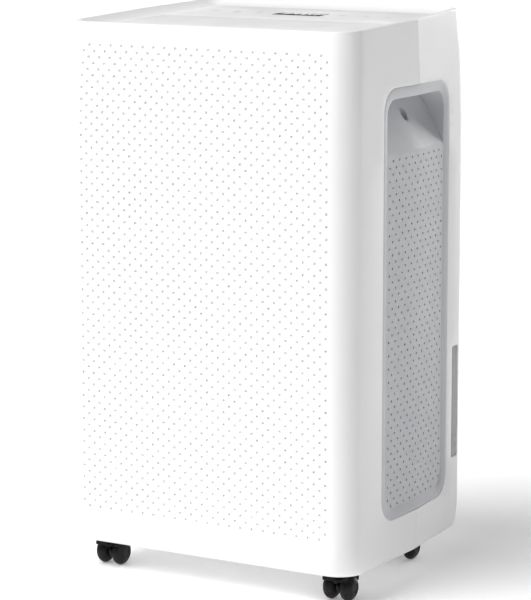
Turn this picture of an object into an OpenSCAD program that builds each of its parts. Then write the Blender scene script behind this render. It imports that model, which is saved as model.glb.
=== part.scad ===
// Free-standing compressor dehumidifier on four twin-wheel casters.
// +X is the right side seen from the front, -Y the front, +Z up.
// The origin is on the floor, under the centre of the body.

/* [Body] */
// Width of the body
body_w = 350; // [340:1:370]
// Depth of the body
body_d = 286; // [280:1:300]
// Height of the rear rim above the floor
body_h = 604; // [604:1:612]
// Height of the body's underside above the floor
ground_gap = 33; // [33:1:36]
// Thickness of the moulded outer walls
wall = 2.6; // [2.4:0.1:3]
// Corner radius at the front, in plan
front_r = 28; // [24:1:32]
// Corner radius at the rear, in plan
rear_r = 24; // [20:1:26]
// How far the sides of the rear half lean inwards, in degrees
rear_taper = 5; // [4:0.5:5]

/* [Top] */
// Rise of the rim towards the rear, per unit of depth
rim_slope = 0.0375; // [0.03:0.0025:0.04]
// Depth of the deck below the rim
deck_drop = 6.2; // [5:0.1:7]
// Width of the touch display
display_w = 60; // [56:1:62]
// Depth of the touch display, front to rear
display_d = 26; // [22:1:28]

/* [Side grilles] */
// Length of a side grille's frame, front to rear
grille_len = 162; // [156:1:164]
// Height of the frame's lower edge
grille_z0 = 77.5; // [76:0.5:84]
// Height of the frame's upper edge
grille_z1 = 532; // [530:1:536]
// Depth of the grille's face below the side
grille_sink = 2.8; // [2.4:0.1:3.5]
// Depth of the handle pocket at its ceiling
pocket_depth = 32; // [29:1:32]

/* [Casters] */
// Radius of the caster wheels
wheel_r = 14; // [13.5:0.1:14]
// Width of one wheel
wheel_w = 15; // [13:0.5:15]
// Sideways distance from the middle to a front caster
front_caster_x = 142; // [138:0.5:143]
// Sideways distance from the middle to a rear caster
rear_caster_x = 121; // [119:0.5:123]

/* [Water tank] */
// Width of the tank
tank_w = 262; // [250:1:270]
// Height of the tank's floor above the ground
tank_z0 = 76; // [76:1:80]
// Height of the tank's rim above the ground
tank_z1 = 240; // [230:1:245]

/* [Hidden] */

steps = 6;                        // straight steps in a quarter of an outline corner
seam_y = 8;                       // where the front and rear shells meet
seam_gap = 0.4;                   // open line between the two shells
top_lean = [4, 8, 5];             // how far the sides, front and rear lean in at the top
lean_z0 = 457;                    // height where the lean starts
lean_power = 2.6;
curl_h = 33;                      // height of the rounded lower edge
curl_in = [4, 12, 6];             // how far the lower edge turns inwards at the sides, front and rear
white = [0.95, 0.95, 0.95];
grey = [0.68, 0.69, 0.71];
black = [0.13, 0.13, 0.13];
steel = [0.72, 0.73, 0.75];
copper = [0.78, 0.45, 0.3];
aluminium = [0.82, 0.83, 0.84];

// ---- Outline of the body in plan ----

function lean(z) = z <= lean_z0 ? 0 : pow((z - lean_z0) / (body_h - 10 - lean_z0), lean_power);
function curl(z) =
  let (t = (ground_gap + curl_h - z) / curl_h)
  t <= 0 ? 0 : 1 - sqrt(max(0, 1 - t * t));
// Insets of the sides, front and rear at a height
function insets(z) = [for (i = [0:2]) curl(z) * curl_in[i] + lean(z) * top_lean[i]];

// Right half of the outline, from the front to the rear, inset by i and by a wall w
function half_outline(i, w) =
  let (
    side = body_w / 2 - i[0] - w,
    rf = max(2, front_r - w),
    rr = max(2, rear_r - w),
    front = -body_d / 2 + i[1] + w + rf,
    rear = body_d / 2 - i[2] - w - rr,
    rear_x = side - (rear + rr * sin(rear_taper) - seam_y) * tan(rear_taper) - rr * cos(rear_taper)
  )
  concat(
    [for (k = [0:steps]) [side - rf + rf * sin(90 * k / steps), front - rf * cos(90 * k / steps)]],
    [[side, seam_y]],
    [for (k = [0:steps]) let (a = rear_taper + (90 - rear_taper) * k / steps)
      [rear_x + rr * cos(a), rear + rr * sin(a)]]
  );
function outline(i, w) =
  let (h = half_outline(i, w), n = len(h))
  concat(h, [for (k = [n - 1:-1:0]) [-h[k][0], h[k][1]]]);

// Solid of the whole body, moved inwards by w, between two heights
module body_solid(w, z0, z1) {
  curl_zs = [for (k = [0:steps]) z0 + (ground_gap + curl_h - z0) * (1 - cos(90 * k / steps))];
  lean_zs = [for (k = [0:steps]) lean_z0 + (z1 - lean_z0) * k / steps];
  zs = concat(curl_zs, lean_zs);
  rings = [for (z = zs) [for (p = outline(insets(z), w)) [p[0], p[1], z]]];
  n = len(rings[0]);
  polyhedron(
    [for (ring = rings) each ring],
    concat(
      [[for (k = [0:n - 1]) k]],
      [for (r = [0:len(zs) - 2], k = [0:n - 1]) let (m = (k + 1) % n)
        [r * n + k, (r + 1) * n + k, (r + 1) * n + m, r * n + m]],
      [[for (k = [n - 1:-1:0]) (len(zs) - 1) * n + k]]
    )
  );
}
// Everything above the rim's plane, lowered by drop
module above_rim(drop) {
  translate([0, body_d / 2, body_h - drop]) rotate([atan(rim_slope), 0, 0])
    translate([-body_w, -2 * body_d, 0]) cube([2 * body_w, 3 * body_d, 100]);
}
module half_space(y0, y1) {
  translate([-body_w, y0, -50]) cube([2 * body_w, y1 - y0, body_h + 100]);
}
module both_sides() {
  children();
  mirror([1, 0, 0]) children();
}

// ---- Side openings ----

grille_y0 = -71;
grille_corner = 26;
bezel_front = 12;                 // width of the frame at the front
bezel_rear = 11;                  // and at the rear
bezel_low = 11.5;
bezel_high = 12;
opening_r = 18;
pocket_z0 = 464;                  // where the handle pocket's ramp starts
pocket_z1 = grille_z1 - bezel_high - 3;

module round_rect(y0, z0, y1, z1, r) {
  for (y = [y0 + r, y1 - r], z = [z0 + r, z1 - r]) translate([y, z]) circle(r, $fn = 48);
  translate([y0 + r, z0]) square([y1 - y0 - 2 * r, z1 - z0]);
  translate([y0, z0 + r]) square([y1 - y0, z1 - z0 - 2 * r]);
}
module frame_area(grow) {
  round_rect(grille_y0 - grow, grille_z0 - grow, grille_y0 + grille_len + grow,
    grille_z1 + grow, grille_corner + grow);
}
module opening_area() {
  round_rect(grille_y0 + bezel_front, grille_z0 + bezel_low,
    grille_y0 + grille_len - bezel_rear, grille_z1 - bezel_high, opening_r);
}
// A plate that follows the creased side between two depths below it
module side_plate(d0, d1) {
  for (rear = [0, 1])
    translate([body_w / 2, seam_y, 0]) rotate([0, 0, rear * rear_taper])
      intersection() {
        translate([-d1, -seam_y, 0]) rotate([90, 0, 90]) linear_extrude(d1 - d0) children();
        translate([-100, rear ? 0 : -200, 0]) cube([120, 200, 700]);
      }
}

module side_grille() {
  color(grey) {
    side_plate(0.3, grille_sink) difference() {
      frame_area(-0.4);
      opening_area();
    }
    // Grille face, and the backs of the frame that hold it
    side_plate(grille_sink, grille_sink + 2.4) difference() {
      round_rect(grille_y0 + 6, grille_z0 + 5, grille_y0 + grille_len - 5, pocket_z1 + 9, opening_r);
      translate([grille_y0 + bezel_front, pocket_z0])
        square([grille_len - bezel_front - bezel_rear, pocket_z1 - pocket_z0]);
    }
    handle_pocket();
  }
}
// A profile of (depth, height) run along the creased side between two places
module along_side(y0, y1) {
  translate([body_w / 2, seam_y, 0]) {
    rotate([90, 0, 0]) linear_extrude(seam_y - y0) children();
    rotate([0, 0, rear_taper]) translate([0, y1 - seam_y, 0]) rotate([90, 0, 0])
      linear_extrude(y1 - seam_y) children();
  }
}
// Pocket for the fingers: a ramp that runs inwards up to a ceiling, between two cheeks
module handle_pocket() {
  x0 = -grille_sink;
  x1 = -pocket_depth;
  y0 = grille_y0 + bezel_front - 2;
  y1 = grille_y0 + grille_len - bezel_rear + 2;
  skin = 2.2;
  difference() {
    along_side(y0, y1) polygon([[x0 - 1, pocket_z0 - 4], [x0 - 1, pocket_z1 + skin],
      [x1 - skin, pocket_z1 + skin], [x1 - skin, pocket_z1 - 1], [x0 - 5, pocket_z0 - 4]]);
    along_side(y0 + skin, y1 - skin) polygon([[x0 + 5, pocket_z0 - 4], [x0 - 1, pocket_z0],
      [x1, pocket_z1], [x0 + 5, pocket_z1]]);
    pocket_screw_hole();
  }
}
pocket_ramp = atan((pocket_depth - grille_sink) / (pocket_z1 - pocket_z0));
module at_pocket_screw() {
  f = 0.66;
  translate([body_w / 2 - grille_sink - f * (pocket_depth - grille_sink), grille_y0 + 86,
    pocket_z0 + f * (pocket_z1 - pocket_z0)])
    rotate([0, 90 - pocket_ramp, 0]) children();
}
module pocket_screw_hole() {
  at_pocket_screw() translate([0, 0, -12]) cylinder(r = 6.5, h = 24, $fn = 48);
}

// ---- Shells ----

filter_w = 250;
filter_z0 = 300;
filter_z1 = 500;
cover_w = 276;                    // tank cover, in the rear wall
cover_z0 = 74;
cover_z1 = 256;
window_y0 = 106;                  // level window, at the start of the rear corner
window_y1 = 122;
window_z0 = 114;
window_z1 = 237;
drain_x = -112;
drain_z = 280;
drain_cup_r = 15;
gland_x = 112;
gland_r = 9;
screw_places = [[130, 540], [132, 270]];  // sideways distance and height of the rear screws

module shell(y0, y1) {
  difference() {
    intersection() {
      difference() {
        body_solid(0, ground_gap, body_h + 6);
        body_solid(wall, ground_gap + wall, body_h + 8);
      }
      half_space(y0, y1);
    }
    above_rim(0);
    both_sides() translate([body_w / 2 - 30, 0, 0]) rotate([90, 0, 90])
      linear_extrude(40) frame_area(0);
  }
}
module front_shell() {
  color(white) difference() {
    shell(-body_d, seam_y - seam_gap / 2);
    caster_holes();
  }
}
module rear_shell() {
  color(white) difference() {
    shell(seam_y + seam_gap / 2, body_d);
    translate([-filter_w / 2 - 1, body_d / 2 - 10, filter_z0 - 1])
      cube([filter_w + 2, 20, filter_z1 - filter_z0 + 2]);
    translate([-cover_w / 2 - 1, body_d / 2 - 10, cover_z0 - 1])
      cube([cover_w + 2, 20, cover_z1 - cover_z0 + 2]);
    both_sides() translate([150, window_y0 - 0.3, window_z0 - 0.3])
      cube([60, window_y1 - window_y0 + 0.6, window_z1 - window_z0 + 0.6]);
    translate([drain_x, body_d / 2 - 10, drain_z]) rotate([-90, 0, 0])
      cylinder(r = drain_cup_r + 0.3, h = 20, $fn = 60);
    translate([gland_x, body_d / 2 - 10, drain_z]) rotate([-90, 0, 0])
      cylinder(r = gland_r + 0.1, h = 20, $fn = 48);
    both_sides() for (p = screw_places)
      translate([p[0], body_d / 2 - 10, p[1]]) rotate([-90, 0, 0])
        cylinder(r = screw_head_r + 0.2, h = 20, $fn = 32);
    caster_holes();
  }
}
module level_window() {
  color([0.55, 0.56, 0.57]) intersection() {
    translate([0, 0, window_z0]) linear_extrude(window_z1 - window_z0) difference() {
      polygon(outline([0, 0, 0], 0));
      polygon(outline([0, 0, 0], wall));
    }
    translate([150, window_y0, window_z0]) cube([60, window_y1 - window_y0, 200]);
  }
}
module level_window_right() { level_window(); }
module level_window_left() { mirror([1, 0, 0]) level_window(); }

// ---- Top ----

function rim_z(y) = body_h - (body_d / 2 - y) * rim_slope;
panel_x = 138;
panel_y0 = -106;
panel_y1 = 8;
display_y0 = 50;
deck_t = 2.4;

// A solid above the sloping deck, between two depths below the rim
module deck_layer(drop0, drop1) {
  difference() {
    intersection() {
      children();
      above_rim(drop1);
    }
    above_rim(drop0);
  }
}
module top_deck() {
  color(white) difference() {
    intersection() {
      body_solid(wall + 0.1, ground_gap + wall, body_h + 6);
      above_rim(deck_drop + deck_t);
    }
    above_rim(0);
    // Dished upper side: a sunk deck with sloped edges up to the rim
    hull() {
      deck_layer(deck_drop - 0.1, deck_drop) deck_field(26);
      deck_layer(-0.5, -0.4) deck_field(5);
    }
    panel_recess(0.3);
    translate([-display_w / 2 - 0.2, display_y0 - 0.2, body_h - 30])
      cube([display_w + 0.4, display_d + 0.4, 60]);
  }
}
module deck_field(inset) {
  translate([0, 0, 560]) linear_extrude(60) polygon(outline(top_lean, inset));
}
module panel_recess(grow) {
  deck_layer(-2, deck_drop + 1.4) translate([-panel_x - grow, panel_y0 - grow, 560])
    cube([2 * (panel_x + grow), panel_y1 - panel_y0 + 2 * grow, 60]);
}
module top_panel() {
  color(white) deck_layer(deck_drop, deck_drop + 1.4)
    translate([-panel_x, panel_y0, 560]) cube([2 * panel_x, panel_y1 - panel_y0, 60]);
}
module display_window() {
  color([0.04, 0.04, 0.05]) deck_layer(deck_drop - 0.1, deck_drop + 2.4)
    translate([-display_w / 2, display_y0, 560]) cube([display_w, display_d, 60]);
}
board_drop = 18;
module control_board() {
  color([0.1, 0.35, 0.2]) {
    deck_layer(board_drop, board_drop + 1.6)
      translate([-122, display_y0 - 12, 540]) cube([244, display_d + 24, 60]);
    // Standoffs that hang the board under the deck
    for (x = [-116, 116], y = [display_y0 - 6, display_y0 + display_d + 6])
      deck_layer(deck_drop + deck_t, board_drop) translate([x, y, 540]) cylinder(r = 3, h = 60, $fn = 24);
  }
}
// Coil springs that carry touch from the deck to the board, as closed sleeves
module touch_springs() {
  color(steel) for (x = [-108, -80, -52, 52, 80, 108])
    deck_layer(deck_drop + deck_t, board_drop)
      translate([x, display_y0 + display_d / 2, 560]) difference() {
        cylinder(r = 5, h = 60, $fn = 32);
        translate([0, 0, -1]) cylinder(r = 4, h = 70, $fn = 32);
      }
}

// ---- Inserts and fasteners in the housing ----

screw_head_r = 4;
screw_r = 1.8;
module side_grille_right() { side_grille(); }
module side_grille_left() { mirror([1, 0, 0]) side_grille(); }
module pocket_screws() {
  color(steel) both_sides() at_pocket_screw() translate([0, 0, -9]) {
    cylinder(r = 5, h = 2.4, $fn = 32);
    translate([0, 0, -10]) cylinder(r = screw_r, h = 10.5, $fn = 24);
  }
}
module housing_screws() {
  color(steel) both_sides() for (p = screw_places)
    translate([p[0], 0, p[1]]) rotate([-90, 0, 0]) {
      translate([0, 0, body_d / 2 - 4]) cylinder(r = screw_head_r, h = 2.2, $fn = 32);
      translate([0, 0, body_d / 2 - 20]) cylinder(r = screw_r, h = 16.5, $fn = 24);
    }
}
gland_bore_r = 4;
module cord_gland() {
  color(black) translate([gland_x, 0, drain_z]) rotate([-90, 0, 0]) difference() {
    union() {
      translate([0, 0, body_d / 2 - 11]) cylinder(r = gland_r, h = 11, $fn = 48);
      translate([0, 0, body_d / 2 - 11]) cylinder(r = gland_r + 4, h = 11 - wall - 0.3, $fn = 48);
    }
    translate([0, 0, body_d / 2 - 20]) cylinder(r = gland_bore_r, h = 40, $fn = 48);
  }
}

// ---- Base pan ----

pan_t = 3.4;
pan_z0 = ground_gap + wall;
pan_x = 146;
pan_y0 = -122;
pan_y1 = 118;
pan_r = 14;
boss_z1 = 57;
boss_r = 11;
stem_r = 4;
run_gap = 0.05;                   // radial clearance of a shaft that turns in a bore
front_swivel_y = -106;
rear_swivel_y = 74;

module at_stems() {
  for (m = [0, 1]) mirror([m, 0, 0]) {
    translate([front_caster_x, front_swivel_y, 0]) children();
    translate([rear_caster_x, rear_swivel_y, 0]) children();
  }
}
module caster_holes() {
  at_stems() translate([0, 0, ground_gap - 5]) cylinder(r = stem_r + 2, h = 20, $fn = 40);
}
module pan_area(inset) {
  translate([-pan_x + inset, pan_y0 + pan_r]) square([2 * (pan_x - inset), pan_y1 - pan_y0 - 2 * pan_r]);
  translate([-pan_x + pan_r, pan_y0 + inset])
    square([2 * (pan_x - pan_r), pan_y1 - pan_y0 - 2 * inset]);
  for (x = [-1, 1], y = [pan_y0 + pan_r, pan_y1 - pan_r])
    translate([x * (pan_x - pan_r), y]) circle(pan_r - inset, $fn = 48);
}
module base_pan() {
  color(black) difference() {
    union() {
      translate([0, 0, pan_z0]) linear_extrude(pan_t) pan_area(0);
      translate([0, 0, pan_z0]) linear_extrude(boss_z1 - pan_z0 - 1) difference() {
        pan_area(0);
        pan_area(2.5);
      }
      at_stems() translate([0, 0, pan_z0]) cylinder(r = boss_r, h = boss_z1 - pan_z0, $fn = 48);
    }
    at_stems() translate([0, 0, pan_z0 - 1]) cylinder(r = stem_r + run_gap, h = 30, $fn = 48);
  }
}

// ---- Casters: each swivels on its stem and rolls on a pair of wheels ----

trail = 8;                        // how far the axle lies behind the stem
axle_r = 2.5;
wheel_gap = 2.4;                  // half the space between the two wheels
fender_r = 15.2;
fender_t = 1.7;
hood_top = ground_gap - 0.8;
module along_x(x0, x1, r, fn = 64) {
  translate([x0, 0, 0]) rotate([0, 90, 0]) cylinder(r = r, h = x1 - x0, $fn = fn);
}
module caster_hood() {
  half = wheel_gap + wheel_w;
  color(black) difference() {
    union() {
      translate([0, trail, wheel_r]) difference() {
        along_x(-half, half, fender_r + fender_t);
        along_x(-half - 1, half + 1, fender_r);
        translate([-50, -50, -60]) cube([100, 100, 62]);
      }
      // Central rib that holds the axle, and the top plate round the stem
      translate([0, trail, wheel_r]) along_x(-wheel_gap + 0.35, wheel_gap - 0.35, 12);
      translate([-wheel_gap + 0.35, trail - 12, wheel_r]) cube([2 * wheel_gap - 0.7, 22, 17]);
      translate([0, 0, hood_top - 3.2]) cylinder(r = 9, h = 3.2, $fn = 48);
    }
    translate([0, trail, wheel_r]) along_x(-30, 30, axle_r);
    translate([0, 0, 15]) cylinder(r = stem_r, h = 40, $fn = 48);
    translate([-50, -50, hood_top]) cube([100, 100, 20]);
  }
}
module caster_pins() {
  color(steel) {
    translate([0, trail, wheel_r]) along_x(-wheel_gap - wheel_w + 1.5, wheel_gap + wheel_w - 1.5, axle_r);
    translate([0, 0, hood_top - 3.2]) cylinder(r = stem_r, h = boss_z1 - hood_top + 2, $fn = 48);
  }
}
// One wheel, barrelled so that it rolls on the middle of its width; side is 1 or -1
module caster_wheel(side) {
  barrel = [for (k = [0:10]) [wheel_r * sqrt(1 - pow((k / 5 - 1) / 1.15, 2)), wheel_w * k / 10]];
  color(black) translate([0, trail, wheel_r]) rotate([0, side * 90, 0]) difference() {
    translate([0, 0, wheel_gap]) rotate_extrude($fn = 96)
      polygon(concat([[0, 0]], barrel, [[0, wheel_w]]));
    translate([0, 0, -1]) cylinder(r = axle_r + run_gap, h = wheel_gap + wheel_w - 0.4, $fn = 48);
  }
}
module at_fl() { translate([-front_caster_x, front_swivel_y, 0]) children(); }
module at_fr() { translate([front_caster_x, front_swivel_y, 0]) children(); }
module at_rl() { translate([-rear_caster_x, rear_swivel_y, 0]) children(); }
module at_rr() { translate([rear_caster_x, rear_swivel_y, 0]) children(); }
module caster_fl_hood() { at_fl() caster_hood(); }
module caster_fl_pins() { at_fl() caster_pins(); }
module caster_fl_wheel_a() { at_fl() caster_wheel(-1); }
module caster_fl_wheel_b() { at_fl() caster_wheel(1); }
module caster_fr_hood() { at_fr() caster_hood(); }
module caster_fr_pins() { at_fr() caster_pins(); }
module caster_fr_wheel_a() { at_fr() caster_wheel(-1); }
module caster_fr_wheel_b() { at_fr() caster_wheel(1); }
module caster_rl_hood() { at_rl() caster_hood(); }
module caster_rl_pins() { at_rl() caster_pins(); }
module caster_rl_wheel_a() { at_rl() caster_wheel(-1); }
module caster_rl_wheel_b() { at_rl() caster_wheel(1); }
module caster_rr_hood() { at_rr() caster_hood(); }
module caster_rr_pins() { at_rr() caster_pins(); }
module caster_rr_wheel_a() { at_rr() caster_wheel(-1); }
module caster_rr_wheel_b() { at_rr() caster_wheel(1); }

// ---- Bulkhead between the tank bay, the compressor bay and the air path ----

bulk_y = 1.5;
bulk_z = 257.5;
shelf_drop = 3.4;                 // from the tank's floor down to the shelf's underside
module bulkhead() {
  color([0.8, 0.8, 0.8]) difference() {
    union() {
      translate([-140, bulk_y, pan_z0 + pan_t]) cube([280, 2.5, bulk_z - pan_z0 - pan_t]);
      translate([-140, -12, bulk_z]) cube([280, 140, 2.5]);
      // Shelf that the tank slides on, and its legs
      translate([-130, bulk_y, tank_z0 - shelf_drop]) cube([260, 134, 3]);
      for (x = [-100, 96]) translate([x, bulk_y, pan_z0 + pan_t])
        cube([4, 110, tank_z0 - shelf_drop - pan_z0 - pan_t]);
    }
    translate([0, spout_y, bulk_z - 1]) cylinder(r = 10, h = 6, $fn = 40);
  }
}

// ---- Water tank, which slides out to the rear ----

tank_y0 = 8;
tank_y1 = 120;
tank_t = 2.4;
spout_y = 60;
cover_t = 3;
grip_w = 110;
grip_z0 = 200;
grip_z1 = 232;
grip_d = 18;
module water_tank() {
  color([0.85, 0.88, 0.9, 0.6]) difference() {
    translate([-tank_w / 2, tank_y0, tank_z0]) cube([tank_w, tank_y1 - tank_y0, tank_z1 - tank_z0]);
    translate([-tank_w / 2 + tank_t, tank_y0 + tank_t, tank_z0 + tank_t])
      cube([tank_w - 2 * tank_t, tank_y1 - tank_y0 - 2 * tank_t, tank_z1]);
  }
  // Ears for the float's pin
  color([0.85, 0.88, 0.9, 0.6]) for (x = [float_x - 9, float_x + 6]) difference() {
    translate([x, tank_y0 + tank_t, float_z - 7]) cube([3, 14, 14]);
    translate([x - 1, float_y, float_z]) rotate([0, 90, 0]) cylinder(r = 1.5, h = 5, $fn = 32);
  }
}
float_x = -70;
float_y = tank_y0 + 16;
float_z = 205;
module tank_float_pin() {
  color(steel) translate([float_x - 9, float_y, float_z]) rotate([0, 90, 0]) cylinder(r = 1.5, h = 18, $fn = 32);
}
module tank_float() {
  color([0.9, 0.9, 0.9]) difference() {
    union() {
      translate([float_x - 5, float_y, float_z]) rotate([0, 90, 0]) cylinder(r = 4, h = 10, $fn = 32);
      translate([float_x - 4, float_y, float_z - 3]) cube([8, 34, 5]);
      translate([float_x - 22, float_y + 30, float_z - 20]) cube([44, 26, 22]);
    }
    translate([float_x - 6, float_y, float_z]) rotate([0, 90, 0])
      cylinder(r = 1.5 + run_gap, h = 12, $fn = 32);
  }
}
module tank_lid() {
  color([0.9, 0.9, 0.9]) difference() {
    union() {
      translate([-tank_w / 2, tank_y0, tank_z1]) cube([tank_w, tank_y1 - tank_y0, 2.4]);
      translate([0, 0, tank_z1 - 6]) linear_extrude(6) difference() {
        translate([-tank_w / 2 + tank_t + 0.1, tank_y0 + tank_t + 0.1])
          square([tank_w - 2 * tank_t - 0.2, tank_y1 - tank_y0 - 2 * tank_t - 0.2]);
        translate([-tank_w / 2 + tank_t + 2, tank_y0 + tank_t + 2])
          square([tank_w - 2 * tank_t - 4, tank_y1 - tank_y0 - 2 * tank_t - 4]);
      }
    }
    translate([0, spout_y, tank_z1 - 10]) cylinder(r = 18, h = 20, $fn = 60);
    // Corner opening for pouring the water out
    translate([tank_w / 2 - 50, tank_y1 - 50, tank_z1 - 1]) cylinder(r = 20, h = 10, $fn = 60);
  }
}
// Outer cover of the tank, flush with the rear shell, with a grip moulded into it
module tank_cover() {
  inner_y = body_d / 2 - cover_t;
  color(white) difference() {
    union() {
      translate([-cover_w / 2, inner_y, cover_z0]) cube([cover_w, cover_t, cover_z1 - cover_z0]);
      translate([-grip_w / 2 - 2, body_d / 2 - grip_d - 2, grip_z0 - 2])
        cube([grip_w + 4, grip_d, grip_z1 - grip_z0 + 4]);
      for (x = [-100, 94], z = [90, 180]) translate([x, tank_y1, z]) cube([6, inner_y - tank_y1, 20]);
    }
    translate([-grip_w / 2, body_d / 2 - grip_d, grip_z0]) cube([grip_w, 40, grip_z1 - grip_z0]);
  }
}

// ---- Air filter, pulled out of the rear ----

module filter_frame() {
  color(white) translate([0, body_d / 2 - 0.4, 0]) rotate([90, 0, 0]) linear_extrude(5) difference() {
    translate([-filter_w / 2, filter_z0]) square([filter_w, filter_z1 - filter_z0]);
    for (k = [0:9], m = [0:3])
      translate([-filter_w / 2 + 9 + m * 59, filter_z0 + 9 + k * 18.4]) square([55, 14]);
  }
}
module filter_mesh() {
  color([0.35, 0.37, 0.4]) translate([-filter_w / 2 + 3, body_d / 2 - 8.4, filter_z0 + 3])
    cube([filter_w - 6, 3, filter_z1 - filter_z0 - 6]);
}

// ---- Refrigeration circuit ----

comp_x = 70;
comp_y = -66;
comp_r = 52;
foot_z = pan_z0 + pan_t;
foot_h = 20;
comp_z0 = foot_z + foot_h;
module compressor() {
  color(black) translate([comp_x, comp_y, comp_z0]) {
    difference() {
      cylinder(r = 62, h = 3, $fn = 64);
      at_feet() translate([0, 0, -1]) cylinder(r = 4, h = 5, $fn = 32);
    }
    translate([0, 0, 3]) rotate_extrude($fn = 96)
      polygon([[0, 0], [comp_r - 8, 0], [comp_r, 8], [comp_r, 128], [comp_r - 6, 142], [comp_r - 20, 152],
        [0, 158]]);
    for (x = [-25, 25]) translate([x, 0, 140]) cylinder(r = 6, h = 30, $fn = 32);
  }
}
module at_feet() {
  for (a = [90, 210, 330]) rotate(a) translate([54, 0, 0]) children();
}
module compressor_feet() {
  color([0.2, 0.2, 0.2]) translate([comp_x, comp_y, foot_z]) at_feet() cylinder(r = 8, h = foot_h, $fn = 40);
}
module compressor_nuts() {
  color(steel) translate([comp_x, comp_y, comp_z0 + 3]) at_feet() cylinder(r = 5.5, h = 4, $fn = 6);
}

tube_r = 4;
tube_pitch = 24;
tube_count = 11;
coil_z0 = 306;
coil_x = 108;
evaporator_y = 100;
condenser_y = 66;
function tube_z(k) = coil_z0 + k * tube_pitch;
module fins(y) {
  color(aluminium) for (k = [0:17]) translate([-coil_x + k * 2 * coil_x / 17 - 0.5, y, 0])
    rotate([90, 0, 90]) linear_extrude(1) difference() {
      translate([-12, coil_z0 - 12]) square([24, tube_pitch * tube_count]);
      for (t = [0:tube_count - 1]) translate([0, tube_z(t)]) circle(tube_r, $fn = 32);
    }
}
module tubes(y) {
  color(copper) translate([0, y, 0]) {
    for (t = [0:tube_count - 1]) translate([0, 0, tube_z(t)])
      along_x(t == tube_count - 1 ? -124 : -112, t == 0 ? 124 : 112, tube_r, 32);
    for (t = [0:tube_count - 2]) translate([t % 2 == 0 ? -112 : 112, 0, tube_z(t) + tube_pitch / 2])
      rotate([90, 0, 0]) rotate(t % 2 == 0 ? 90 : -90)
        rotate_extrude(angle = 180, $fn = 48) translate([tube_pitch / 2, 0]) circle(tube_r, $fn = 32);
  }
}
module evaporator_fins() { fins(evaporator_y); }
module evaporator_tubes() { tubes(evaporator_y); }
module condenser_fins() { fins(condenser_y); }
module condenser_tubes() { tubes(condenser_y); }

// A pipe along straight stretches with brazed elbows, which are a little thicker
elbow_swell = 1.12;
module pipe(points, r) {
  for (i = [0:len(points) - 2]) {
    d = points[i + 1] - points[i];
    translate(points[i]) rotate([0, acos(d[2] / norm(d)), atan2(d[1], d[0])])
      cylinder(r = r, h = norm(d), $fn = 32);
    if (i > 0) translate(points[i]) sphere(r = elbow_swell * r, $fn = 32);
  }
}
comp_top = comp_z0 + 170;
module discharge_pipe() {
  color(copper) pipe([[comp_x + 25, comp_y, comp_top], [comp_x + 25, comp_y, 274], [135, comp_y, 274],
    [135, condenser_y, 274], [135, condenser_y, tube_z(0)], [124, condenser_y, tube_z(0)]], tube_r);
}
module suction_pipe() {
  color(copper) pipe([[comp_x - 25, comp_y, comp_top], [comp_x - 25, comp_y, 290], [146, comp_y, 290],
    [146, evaporator_y, 290], [146, evaporator_y, tube_z(0)], [124, evaporator_y, tube_z(0)]], tube_r);
}
module filter_drier() {
  x = -133;
  color(copper) {
    pipe([[-124, condenser_y, tube_z(10)], [x, condenser_y, tube_z(10)], [x, condenser_y, 450],
      [x, evaporator_y, 450], [x, evaporator_y, tube_z(10)], [-124, evaporator_y, tube_z(10)]], 2);
    translate([x, condenser_y, 452]) cylinder(r = 4.5, h = 40, $fn = 40);
  }
}

// ---- Fan ----

fan_z = 424;
scroll_r = 117;
scroll_y0 = -6;
scroll_y1 = 42;
shaft_r = 4;
module around_fan(y0, y1, r, fn = 96) {
  translate([0, y0, fan_z]) rotate([-90, 0, 0]) cylinder(r = r, h = y1 - y0, $fn = fn);
}
module fan_scroll() {
  color([0.85, 0.85, 0.85]) difference() {
    union() {
      around_fan(scroll_y0, scroll_y1, scroll_r);
      for (x = [-90, 78]) translate([x, scroll_y0, bulk_z + 2.5]) cube([12, scroll_y1 - scroll_y0, 100]);
    }
    around_fan(scroll_y0 + 2.5, scroll_y1 - 2.5, scroll_r - 2.5);
    around_fan(scroll_y0 - 1, scroll_y1, 16, 48);
    around_fan(scroll_y1 - 5, scroll_y1 + 5, 82);
    // Outlets towards both side grilles
    translate([-200, scroll_y0 + 5, fan_z - 60]) cube([400, scroll_y1 - scroll_y0 - 10, 80]);
  }
}
module fan_motor() {
  color(steel) difference() {
    union() {
      around_fan(-58, scroll_y0, 40);
      around_fan(-62, -58, 30);
    }
    around_fan(-54, 0, shaft_r + run_gap, 48);
  }
}
module fan_shaft() {
  color(steel) around_fan(-53.5, 36, shaft_r, 48);
}
module fan_impeller() {
  color(black) difference() {
    union() {
      around_fan(3, 6, 92);
      around_fan(3, 30, 10, 48);
      difference() {
        around_fan(34, 37, 92);
        around_fan(33, 38, 76);
      }
      for (k = [0:27]) translate([0, 0, fan_z]) rotate([0, k * 360 / 28, 0]) translate([78, 5, 0])
        rotate([0, 25, 0]) translate([0, 0, -0.7]) cube([13, 30, 1.4]);
    }
    around_fan(0, 40, shaft_r, 48);
  }
}

// ---- Drip tray and drain ----

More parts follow.
